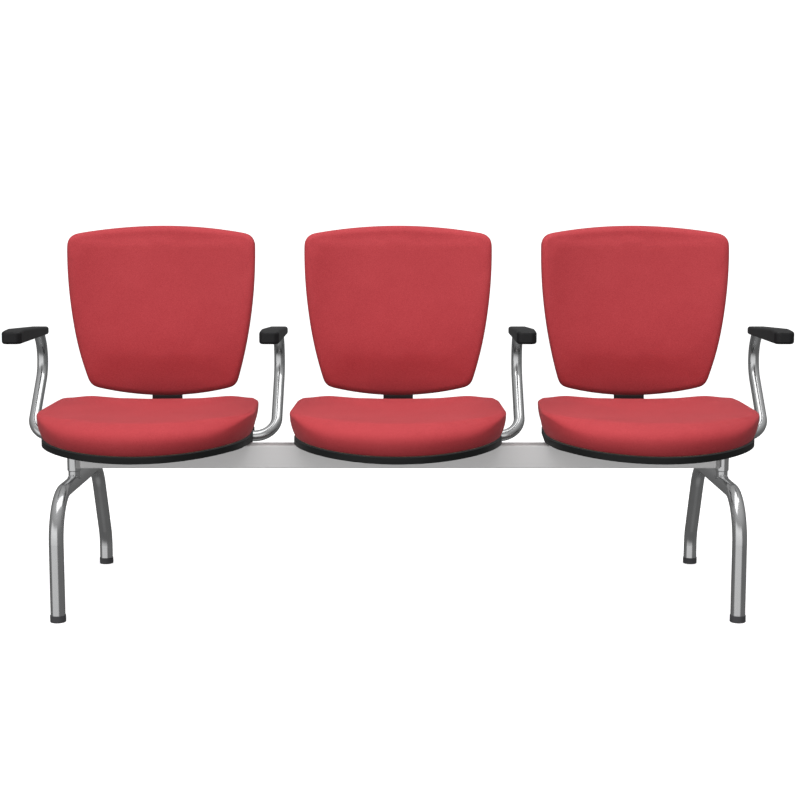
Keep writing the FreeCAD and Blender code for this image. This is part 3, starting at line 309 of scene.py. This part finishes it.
def make_seat_pad():
    """The seat pad round its chair's own middle.

    Its rings go from underneath, up the side and over the top.
    """
    cache = {}

    def outline(grow):
        key = round(grow, 5)
        if key not in cache:
            cache[key] = seat_outline(key, PAD_POINTS)
        return cache[key]

    sides = [seat_side(smooth(FRONT_FROM, FRONT_FULL_FROM, -y)) for _, y in outline(0.0)]
    rings = []
    for inset in SEAT_BASE_INSETS:
        rings.append([(x, y, board_z(y) + BOARD_GAP) for x, y in outline(-inset)])
    for row in zip(*sides):
        ring = []
        for index, (outward, share) in enumerate(row):
            x, y = outline(outward)[index]
            low = board_z(y) + BOARD_GAP
            inner = max(0.0, 1 - (x / REAR_DIP_HALF_WIDTH) ** 2)
            dip = REAR_DIP * inner * smooth(REAR_DIP_FROM, REAR_DIP_FULL_FROM, y)
            high = seat_plane(y) - dip
            ring.append((x, y, low + (high - low) * share))
        rings.append(ring)
    rim = rings[-1]
    steps = 16
    for step in range(1, steps):
        share = 1 - step / steps
        ring = []
        for x, y, z in rim:
            new_x = x * share
            new_y = DISH_Y + (y - DISH_Y) * share
            dip = (seat_plane(y) - z) * share ** 4
            dish = DISH_DEPTH * (1 - share * share) ** 1.5
            ring.append((new_x, new_y, seat_plane(new_y) - dip - dish))
        rings.append(ring)
    return rings_mesh("seat_pad", rings)


def back_outline(inset, count):
    """The back's outline from the front as (x, z), from the middle of its top."""
    side_radius = BACK_SIDE_RADIUS - inset
    top_radius = BACK_TOP_RADIUS - inset
    base_radius = BACK_BASE_RADIUS - inset
    side_x = BACK_HALF - inset - side_radius
    top_z = BACK_TOP - inset - top_radius
    base_z = BACK_BASE + inset + base_radius

    def corner(radius, centre_z, big_radius, upward):
        """Centre of the corner arc that touches the side and the top or base arc, by halving."""
        low = BACK_WIDE_Z - 0.45
        high = BACK_WIDE_Z + 0.06
        halvings = 60
        for _ in range(halvings):
            z = (low + high) / 2
            x = side_x + math.sqrt((side_radius - radius) ** 2 - (z - BACK_WIDE_Z) ** 2)
            reach = math.hypot(x, z - centre_z)
            outside = reach > big_radius - radius
            if outside == (upward > 0):
                high = z
            else:
                low = z
        return x, z

    top_corner = max(BACK_TOP_CORNER - inset / 2, BACK_CORNER_LEAST)
    base_corner = max(BACK_BASE_CORNER - inset / 2, BACK_CORNER_LEAST)
    tx, tz = corner(top_corner, top_z, top_radius, 1)
    bx, bz = corner(base_corner, base_z, base_radius, -1)
    top_angle = math.atan2(tz - top_z, tx)
    base_angle = math.atan2(bz - base_z, bx)
    upper_side = math.atan2(tz - BACK_WIDE_Z, tx - side_x)
    lower_side = math.atan2(bz - BACK_WIDE_Z, bx - side_x)
    right = arc_points((0, top_z), top_radius, math.pi / 2, top_angle, 16)
    right += arc_points((tx, tz), top_corner, top_angle, upper_side, 10)
    right += arc_points((side_x, BACK_WIDE_Z), side_radius, upper_side, lower_side, 30)
    right += arc_points((bx, bz), base_corner, lower_side, base_angle, 10)
    right += arc_points((0, base_z), base_radius, base_angle, -math.pi / 2, 16)
    right.append((0.0, base_z - base_radius))
    left = [(-x, z) for x, z in right[1:-1]]
    return resample(right + left[::-1], count)


def back_edge_y(z):
    """Where the front of the back's side edges is at a height: they lean to the rear."""
    return BACK_EDGE_Y + (z - LUMBAR_Z) * BACK_LEAN


def hollow_share(x):
    """1 in the middle of the back, falling to 0 just outside its sides."""
    return 1 - (x / BACK_HOLLOW_HALF) ** 2


def back_front_y(x, z):
    """The back pad's front: hollow across, fuller at the lumbar, drawn back at its bottom."""
    up = (z - LUMBAR_Z) / LUMBAR_SPREAD
    forward = LUMBAR_BULGE * math.exp(-up * up)
    low = max(0.0, (RECEDE_FROM - z) / (RECEDE_FROM - BACK_BASE))
    recede = BASE_RECEDE * low * low
    return back_edge_y(z) + (BACK_HOLLOW - forward) * hollow_share(x) + recede


def back_rear_y(x, z):
    """The back pad's rear, which lies on its board: thicker in the middle than at the edge."""
    edge = back_edge_y(z) + BACK_EDGE_THICK
    middle = back_edge_y(z) + BACK_HOLLOW + BACK_MIDDLE_THICK
    return edge + (middle - edge) * hollow_share(x)


def make_back_pad():
    """The back pad round its chair's own middle.

    Its rings go from the middle of its rear, round the edge and over the front.
    """

    def drawn_in(rim, share, face_y):
        """The rim brought towards the back's middle, on its front or rear face."""
        ring = []
        for x, z in rim:
            new_x = x * share
            new_z = BACK_MIDDLE_Z + (z - BACK_MIDDLE_Z) * share
            ring.append((new_x, face_y(new_x, new_z), new_z))
        return ring

    rear_rim = back_outline(BACK_REAR_INSET, PAD_POINTS)
    rings = [drawn_in(rear_rim, share, back_rear_y) for share in BACK_REAR_SHARES]
    steps = 6
    for index in range(steps + 1):
        angle = math.pi / 2 * index / steps
        inset = BACK_REAR_ROUND * (1 - math.sin(angle))
        depth = BACK_REAR_ROUND * (1 - math.cos(angle))
        outline = back_outline(inset, PAD_POINTS)
        rings.append([(x, back_rear_y(x, z) - depth, z) for x, z in outline])
    for index in range(steps + 2):
        angle = math.pi / 2 * index / (steps + 1)
        inset = BACK_FRONT_ROUND * (1 - math.cos(angle))
        depth = BACK_FRONT_ROUND * (1 - math.sin(angle))
        outline = back_outline(inset, PAD_POINTS)
        rings.append([(x, back_front_y(x, z) + depth, z) for x, z in outline])
    front_rim = back_outline(BACK_FRONT_ROUND, PAD_POINTS)
    steps = 18
    for step in range(1, steps):
        rings.append(drawn_in(front_rim, 1 - step / steps, back_front_y))
    return rings_mesh("back_pad", rings)


def simulated(cover, held):
    """Even points on the cover, before and after its cloth is blown up from inside."""
    pad = piece_from("pad_in_work", cover.copy())
    remesh = pad.modifiers.new("remesh", "REMESH")
    remesh.mode = "VOXEL"
    remesh.voxel_size = VOXEL
    bpy.context.view_layer.objects.active = pad
    bpy.ops.object.modifier_apply(modifier="remesh")
    start = [vert.co.copy() for vert in pad.data.vertices]
    group = pad.vertex_groups.new(name="held")
    for vert in pad.data.vertices:
        group.add([vert.index], held(vert.co), "REPLACE")
    cloth = pad.modifiers.new("cloth", "CLOTH")
    for key, value in SWELL_CLOTH.items():
        setattr(cloth.settings, key, value)
    cloth.settings.vertex_group_mass = "held"
    cloth.settings.effector_weights.gravity = 0
    cloth.collision_settings.use_collision = False
    for number in range(1, SWELL_FRAMES + 1):
        bpy.context.scene.frame_set(number)
    shaped = pad.evaluated_get(bpy.context.evaluated_depsgraph_get())
    moved = [vert.co.copy() for vert in shaped.to_mesh().vertices]
    shaped.to_mesh_clear()
    bpy.data.objects.remove(pad)
    bpy.context.scene.frame_set(1)
    return start, moved


def swollen(cover, most, held):
    """The cover blown up from inside, by no more than most, and subdivided once.

    held says how firmly a point is held, from 0 to 1. Each point follows the simulated points
    round it, outward alone, so that corners keep their shape.
    """
    start, moved = simulated(cover, held)
    tree = KDTree(len(start))
    for index, point in enumerate(start):
        tree.insert(point, index)
    tree.balance()
    steps = []
    for vert in cover.vertices:
        total = 0.0
        weights = 0.0
        for point, index, distance in tree.find_n(vert.co, SWELL_NEIGHBOURS):
            weight = math.exp(-(distance / (2 * VOXEL)) ** 2)
            total += weight * (moved[index] - point).dot(vert.normal)
            weights += weight
        steps.append(vert.normal * min(max(total / weights, 0.0), most))
    for vert, step in zip(cover.vertices, steps):
        vert.co += step
    pad = piece_from("pad_in_work", cover)
    finer = pad.modifiers.new("finer", "SUBSURF")
    finer.levels = 1
    bpy.context.view_layer.objects.active = pad
    bpy.ops.object.modifier_apply(modifier="finer")
    bpy.data.objects.remove(pad)
    cover.shade_smooth()
    return cover


# Materials


class Wiring:
    """Short ways to add nodes to a tree and to join them."""

    def __init__(self, tree):
        self.tree = tree

    def node(self, kind, **settings):
        node = self.tree.nodes.new(kind)
        for key, value in settings.items():
            setattr(node, key, value)
        return node

    def link(self, source, target):
        self.tree.links.new(source, target)

    def parts(self, vector):
        """The outputs X, Y and Z of a vector."""
        node = self.node("ShaderNodeSeparateXYZ")
        self.link(vector, node.inputs["Vector"])
        return node.outputs

    def ramp(self, source, stops):
        """The colour at source, from stops of (position, colour)."""
        node = self.node("ShaderNodeValToRGB")
        elements = node.color_ramp.elements
        for index, (position, colour) in enumerate(stops):
            element = elements[index] if index < 2 else elements.new(position)
            element.position = position
            element.color = (*colour, 1.0)
        self.link(source, node.inputs["Fac"])
        return node.outputs["Color"]

    def spread(self, source, low, high, start=0.0, end=1.0):
        """low where source is start, high where it is end."""
        node = self.node("ShaderNodeMapRange")
        node.inputs["From Min"].default_value = start
        node.inputs["From Max"].default_value = end
        node.inputs["To Min"].default_value = low
        node.inputs["To Max"].default_value = high
        self.link(source, node.inputs["Value"])
        return node.outputs["Result"]

    def sums(self, operation, first, second=0.0):
        """One step of arithmetic on two values, each a number or a node's output."""
        node = self.node("ShaderNodeMath", operation=operation)
        for socket, value in zip(node.inputs, (first, second)):
            if isinstance(value, (int, float)):
                socket.default_value = value
            else:
                self.link(value, socket)
        return node.outputs["Value"]


class Look(Wiring):
    """A node material with one principled shader."""

    def __init__(self, name, **constants):
        self.material = bpy.data.materials.new(name)
        self.material.use_nodes = True
        super().__init__(self.material.node_tree)
        self.shader = self.tree.nodes["Principled BSDF"]
        for key, value in constants.items():
            self.shader.inputs[key.replace("_", " ")].default_value = value

    def places(self):
        return self.node("ShaderNodeTexCoord").outputs["Object"]

    def stretched(self, scale):
        mapping = self.node("ShaderNodeMapping")
        mapping.inputs["Scale"].default_value = scale
        self.link(self.places(), mapping.inputs["Vector"])
        return mapping.outputs["Vector"]

    def noise(self, scale, detail=3.0, roughness=0.5, stretch=(1, 1, 1)):
        node = self.node("ShaderNodeTexNoise")
        node.inputs["Scale"].default_value = scale
        node.inputs["Detail"].default_value = detail
        node.inputs["Roughness"].default_value = roughness
        self.link(self.stretched(stretch), node.inputs["Vector"])
        return node.outputs["Fac"]

    def bump(self, height, strength, distance, under=None):
        node = self.node("ShaderNodeBump")
        node.inputs["Strength"].default_value = strength
        node.inputs["Distance"].default_value = distance
        self.link(height, node.inputs["Height"])
        if under is not None:
            self.link(under, node.inputs["Normal"])
        return node.outputs["Normal"]

    def waves(self, source, pitch):
        """A sine along source, from -1 to 1."""
        return self.sums("SINE", self.sums("MULTIPLY", source, 2 * math.pi / pitch))

    def use(self, source, socket):
        self.link(source, self.shader.inputs[socket])


def shaded(colour, share):
    """The colour made darker."""
    return tuple(share * part for part in colour)


def weave_height(look, pitch):
    """Plain weave from three flat projections, mixed by the way that the surface faces."""
    facing = look.parts(look.node("ShaderNodeNewGeometry").outputs["Normal"])
    waves = [look.waves(along, pitch) for along in look.parts(look.places())]
    total = None
    for axis in range(3):
        first, second = [waves[other] for other in range(3) if other != axis]
        crossed = look.sums("MULTIPLY", first, second)
        share = look.sums("MULTIPLY", facing[axis], facing[axis])
        part = look.sums("MULTIPLY", crossed, share)
        total = part if total is None else look.sums("ADD", total, part)
    return total


def cloth_look(name, dark, main, light):
    """Woven cloth with speckled yarn, slightly uneven in colour."""
    look = Look(
        name, Roughness=0.7, Specular_IOR_Level=0.22, Sheen_Weight=0.12, Sheen_Roughness=0.4)
    look.shader.inputs["Sheen Tint"].default_value = (1.0, 0.6, 0.62, 1.0)
    cloudy = look.noise(scale=9.0, detail=4.0, roughness=0.6)
    speckle = look.noise(scale=900.0, detail=2.0, roughness=0.7)
    mixed = look.sums("ADD", look.spread(cloudy, low=-0.10, high=0.10), speckle)
    look.use(look.ramp(mixed, [(0.25, dark), (0.5, main), (0.8, light)]), "Base Color")
    weave = weave_height(look, WEAVE_PITCH)
    yarn = look.bump(weave, strength=0.35, distance=0.0002)
    look.use(look.bump(speckle, strength=0.25, distance=0.00015, under=yarn), "Normal")
    return look.material


def chrome_look(name, tint, rough):
    """Bright metal with smudges and fine upright scratches."""
    look = Look(name, Metallic=1.0)
    smudge = look.noise(scale=28.0, detail=5.0, roughness=0.65)
    look.use(look.ramp(smudge, [(0.3, shaded(tint, 0.93)), (0.7, tint)]), "Base Color")
    look.use(look.spread(smudge, low=rough * 0.6, high=rough * 1.5), "Roughness")
    scratch = look.noise(scale=60.0, detail=3.0, roughness=0.6, stretch=(14, 14, 1))
    look.use(look.bump(scratch, strength=0.03, distance=0.0004), "Normal")
    return look.material


def paint_look(name, colour, rough):
    """Powder paint with a fine orange peel."""
    look = Look(name, Specular_IOR_Level=0.5)
    cloudy = look.noise(scale=5.0, detail=3.0)
    look.use(look.ramp(cloudy, [(0.3, shaded(colour, 0.94)), (0.7, colour)]), "Base Color")
    uneven = look.noise(scale=40.0, detail=4.0, roughness=0.6)
    look.use(look.spread(uneven, low=rough * 0.85, high=rough * 1.15), "Roughness")
    peel = look.noise(scale=420.0, detail=2.0, roughness=0.5)
    look.use(look.bump(peel, strength=0.12, distance=0.0003), "Normal")
    return look.material


def plastic_look(name, colour, rough, grain, depth):
    """Moulded plastic with a grain of small cells."""
    look = Look(name, Specular_IOR_Level=0.3)
    cloudy = look.noise(scale=14.0, detail=4.0, roughness=0.6)
    look.use(look.ramp(cloudy, [(0.3, shaded(colour, 0.8)), (0.75, colour)]), "Base Color")
    look.use(look.spread(cloudy, low=rough * 0.85, high=rough * 1.15), "Roughness")
    cells = look.node("ShaderNodeTexVoronoi", feature="DISTANCE_TO_EDGE")
    cells.inputs["Scale"].default_value = grain
    look.link(look.places(), cells.inputs["Vector"])
    look.use(look.bump(cells.outputs["Distance"], strength=0.3, distance=depth), "Normal")
    return look.material


def plywood_look():
    """Plies by height, with a grain that runs along the row."""
    look = Look("plywood", Roughness=0.6)
    plies = look.waves(look.parts(look.places())["Z"], PLY_PITCH)
    grain = look.noise(scale=30.0, detail=6.0, roughness=0.65, stretch=(1, 12, 12))
    mixed = look.sums("ADD", look.sums("MULTIPLY", plies, 0.18), grain)
    stops = [(0.25, (0.20, 0.11, 0.05)), (0.5, (0.45, 0.29, 0.15)), (0.8, (0.62, 0.45, 0.27))]
    look.use(look.ramp(mixed, stops), "Base Color")
    look.use(look.bump(grain, strength=0.2, distance=0.0004), "Normal")
    return look.material


def zinc_look():
    """Zinc plate with fine spots."""
    look = Look("zinc", Metallic=1.0)
    spots = look.noise(scale=300.0, detail=3.0, roughness=0.6)
    stops = [(0.3, (0.42, 0.43, 0.45)), (0.7, (0.62, 0.62, 0.60))]
    look.use(look.ramp(spots, stops), "Base Color")
    look.use(look.spread(spots, low=0.28, high=0.45), "Roughness")
    look.use(look.bump(spots, strength=0.1, distance=0.0002), "Normal")
    return look.material


LOOKS = {
    "beam_paint": paint_look("beam_paint", (0.53, 0.525, 0.525), 0.42),
    "leg_chrome": chrome_look("leg_chrome", CHROME_TINT, 0.17),
    "arm_chrome": chrome_look("arm_chrome", CHROME_TINT, 0.19),
    "foot_plastic": plastic_look(
        "foot_plastic", (0.085, 0.085, 0.09), rough=0.5, grain=900.0, depth=0.0001),
    "trim_plastic": plastic_look(
        "trim_plastic", (0.040, 0.023, 0.025), rough=0.5, grain=900.0, depth=0.0001),
    "edge_trim": plastic_look(
        "edge_trim", (0.007, 0.008, 0.008), rough=0.5, grain=1200.0, depth=0.00005),
    "shell_plastic": plastic_look(
        "shell_plastic", (0.028, 0.028, 0.03), rough=0.55, grain=700.0, depth=0.00015),
    "seat_fabric": cloth_look(
        "seat_fabric",
        dark=(0.36, 0.028, 0.036), main=(0.50, 0.050, 0.060), light=(0.62, 0.085, 0.095)),
    # The back's cloth is the seat's cloth with its red made about a twentieth darker: painted
    # shade on the backs, which take less light than the seats' tops.
    "back_fabric": cloth_look(
        "back_fabric",
        dark=(0.34, 0.028, 0.036), main=(0.47, 0.050, 0.060), light=(0.59, 0.085, 0.095)),
    "plywood": plywood_look(),
    "bracket_paint": paint_look("bracket_paint", (0.03, 0.03, 0.032), 0.45),
    "pad_foam": plastic_look(
        "pad_foam", (0.010, 0.010, 0.011), rough=0.42, grain=480.0, depth=0.0002),
    "zinc": zinc_look(),
}

# Dark nodes that would stain the chrome's mirror images, by the start of their names.
UNMIRRORED = ("back_board", "back_shell", "bar_cover", "seat_band", "seat_board", "seat_shell")


def dress_cad():
    """Give every CAD node the look of its material slot."""
    for part in frame["record"]["subparts"]:
        node = frame["nodes"][part["node"]]
        for slot in node.material_slots:
            slot.material = LOOKS[part["material_slot"]]


def add_piece(name, data, slot, place=(0.0, 0.0, 0.0), stands_for=()):
    """A piece of the object in its slot's look, in place of the CAD nodes that it stands for."""
    piece = piece_from(name, data, place)
    data.materials.clear()
    data.materials.append(LOOKS[slot])
    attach(piece, "root")
    if stands_for:
        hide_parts(*stands_for)
    return piece


# The object


def held_seat(point):
    """The seat pad is held at its board."""
    return 1.0 - smooth(SEAT_HELD_TO, SEAT_FREE_FROM, point.z)


def held_back(point):
    """The back pad is held at its rear."""
    depth = point.y - back_rear_y(point.x, point.z) + BACK_HELD_DEPTH
    return smooth(-BACK_HELD_FADE, 0.0, depth)


def make_cushions():
    seat = swollen(make_seat_pad(), SEAT_SWELL_MOST, held_seat)
    back = swollen(make_back_pad(), BACK_SWELL_MOST, held_back)
    for chair, x in CHAIRS.items():
        place = (x, AXIS_Y, 0.0)
        stands_for = ["seat_cushion_" + chair]
        cushion = add_piece("seat_pad_" + chair, seat.copy(), "seat_fabric", place, stands_for)
        cushion.visible_glossy = False
        stands_for = ["back_cushion_" + chair]
        cushion = add_piece("back_pad_" + chair, back.copy(), "back_fabric", place, stands_for)
        cushion.visible_glossy = False


def soften(node, width, segments=2):
    """A small bevel on a CAD node's sharp edges."""
    bevel = frame["nodes"][node].modifiers.new("bevel", "BEVEL")
    bevel.width = width
    bevel.segments = segments
    bevel.limit_method = "ANGLE"
    bevel.angle_limit = BEVEL_SHARPER_THAN


def soften_trims():
    for chair in CHAIRS:
        for trim, width in BEVEL_WIDTHS.items():
            soften(trim + chair, width)
    for arm in ("outer_left", "inner_left", "inner_right", "outer_right"):
        soften("arm_pad_" + arm, ARM_PAD_BEVEL, segments=4)
    for leg in LEGS:
        soften("foot_front_" + leg, FOOT_BEVEL)
        soften("foot_rear_" + leg, FOOT_BEVEL)


def make_welds():
    """The rippled bead round each post's neck, where it sits on the arch."""
    around = 72
    section = 8
    for leg, x in LEGS.items():
        rings = []
        for index in range(around):
            turn = 2 * math.pi * index / around
            ripple = WELD_RIPPLE * math.sin(turn * 19)
            bead = WELD_BEAD + ripple + WELD_RIPPLE * math.sin(turn * 7 + 1)
            low = Vector((WELD_NECK_RADIUS * math.cos(turn), WELD_NECK_RADIUS * math.sin(turn), 0))
            low.z = math.sqrt(WELD_ARCH_RADIUS * WELD_ARCH_RADIUS - low.x * low.x)
            outward = Vector((math.cos(turn), math.sin(turn), 0))
            ring = []
            for step in range(section):
                angle = 2 * math.pi * step / section
                upward = Vector((0, 0, bead * math.sin(angle)))
                ring.append(low + outward * bead * math.cos(angle) + upward)
            rings.append(ring)
        rings.append(rings[0])
        data = rings_mesh("weld", rings, closed=False)
        join_ends(data)
        add_piece("weld_" + leg, data, "leg_chrome", (x, AXIS_Y, WELD_ARCH_Z))


def join_ends(data):
    """Join points that lie on each other, so that a ring of rings closes."""
    mesh = bmesh.new()
    mesh.from_mesh(data)
    bmesh.ops.remove_doubles(mesh, verts=mesh.verts, dist=1e-7)
    bmesh.ops.recalc_face_normals(mesh, faces=mesh.faces)
    mesh.to_mesh(data)
    mesh.free()
    data.shade_smooth()


# The room


def hide_from_chrome():
    """Keep the dark undersides and rears out of the tubes' mirror images."""
    for name, node in frame["nodes"].items():
        if name.startswith(UNMIRRORED):
            node.visible_glossy = False


def area_light(name, place, target, size, watts, mirrored=False):
    """A soft light; only a mirrored one shows in bright metal."""
    data = bpy.data.lights.new(name, "AREA")
    data.shape = "RECTANGLE"
    data.size, data.size_y = size
    data.energy = watts
    light = bpy.data.objects.new(name, data)
    light.location = place
    towards = Vector(target) - Vector(place)
    light.rotation_euler = towards.to_track_quat("-Z", "Y").to_euler()
    light.visible_glossy = mirrored
    bpy.context.scene.collection.objects.link(light)
    return light


def make_floor():
    """A round floor that curves up into a wall all round. The camera alone sees it."""
    around = 96
    steps = 12
    profile = [(FLOOR_FLAT, 0.0)]
    for step in range(1, steps + 1):
        angle = math.pi / 2 * step / steps
        reach = FLOOR_FLAT + FLOOR_CURVE * math.sin(angle)
        profile.append((reach, FLOOR_CURVE * (1 - math.cos(angle))))
    profile.append((FLOOR_FLAT + FLOOR_CURVE, WALL_TOP))
    turns = [2 * math.pi * index / around for index in range(around)]
    rings = []
    for reach, z in profile:
        rings.append([(reach * math.cos(turn), reach * math.sin(turn), z) for turn in turns])
    floor = piece_from("floor", rings_mesh("floor", rings), (0.0, 0.0, FLOOR_Z))
    look = Look("floor", Roughness=0.6, Specular_IOR_Level=0.2)
    stops = [(0.3, (0.86, 0.86, 0.86)), (0.7, (0.90, 0.90, 0.90))]
    look.use(look.ramp(look.noise(scale=2.0, detail=2.0), stops), "Base Color")
    look.shader.inputs["Emission Color"].default_value = (1, 1, 1, 1)
    look.shader.inputs["Emission Strength"].default_value = FLOOR_GLOW
    floor.data.materials.append(look.material)
    floor.visible_diffuse = False
    floor.visible_glossy = False
    floor.visible_shadow = False


def make_sky():
    """Light from all round: bright above and in a broad strip ahead, darker behind and below."""
    world = bpy.data.worlds.new("studio")
    world.use_nodes = True
    sky = Wiring(world.node_tree)
    direction = sky.node("ShaderNodeTexCoord").outputs["Generated"]
    parts = sky.parts(direction)
    height = sky.spread(parts["Z"], low=0.0, high=1.0, start=-1.0, end=1.0)
    up = sky.ramp(height, [(position, (level,) * 3) for position, level in SKY_LEVELS])
    behind = sky.spread(parts["Y"], low=1.0, high=SKY_BEHIND, start=0.2, end=0.9)
    strip = sky.node("ShaderNodeVectorMath", operation="DOT_PRODUCT")
    strip.inputs[1].default_value = STRIP_TOWARDS
    sky.link(direction, strip.inputs[0])
    glow = sky.spread(strip.outputs["Value"], low=0.0, high=STRIP_GLOW, start=0.56, end=0.70)
    steep = sky.sums("MULTIPLY", parts["Z"], parts["Z"])
    glow = sky.sums("MULTIPLY", glow, sky.spread(steep, low=1.0, high=0.0, start=0.05, end=0.25))
    background = sky.tree.nodes["Background"]
    sky.link(up, background.inputs["Color"])
    sky.link(sky.sums("ADD", behind, glow), background.inputs["Strength"])
    bpy.context.scene.world = world


def make_lights():
    """Three soft lights from above, and one from low ahead that lights the beam alone."""
    area_light("key", (-0.3, -1.9, 2.4), target=(0.0, 0.0, 0.6), size=(3.0, 1.0), watts=26)
    area_light("overhead", (0.2, -0.3, 3.0), target=(0.0, 0.0, 0.4), size=(3.5, 1.5), watts=26,
               mirrored=True)
    area_light("top", (0.0, -0.6, 2.6), target=(0.0, 0.0, 0.4), size=(3.0, 1.5), watts=14)
    under = area_light("under", (0.0, -3.0, 0.25), target=(0.0, 0.0, 0.33), size=(3.0, 0.4),
                       watts=38)
    receivers = bpy.data.collections.new("lit_from_below")
    receivers.objects.link(frame["nodes"]["beam"])
    under.light_linking.receiver_collection = receivers


def make_camera():
    data = bpy.data.cameras.new("camera")
    data.lens = LENS_MM
    data.sensor_width = SENSOR_MM
    data.clip_end = CAMERA_REACH
    camera = bpy.data.objects.new("camera", data)
    camera.location = CAMERA_PLACE
    camera.rotation_euler = (math.pi / 2 - CAMERA_TILT, 0.0, 0.0)
    bpy.context.scene.collection.objects.link(camera)
    bpy.context.scene.camera = camera


dress_cad()
make_cushions()
soften_trims()
make_welds()
hide_from_chrome()
make_floor()
make_sky()
make_lights()
make_camera()
bpy.context.scene.view_settings.view_transform = "Standard"
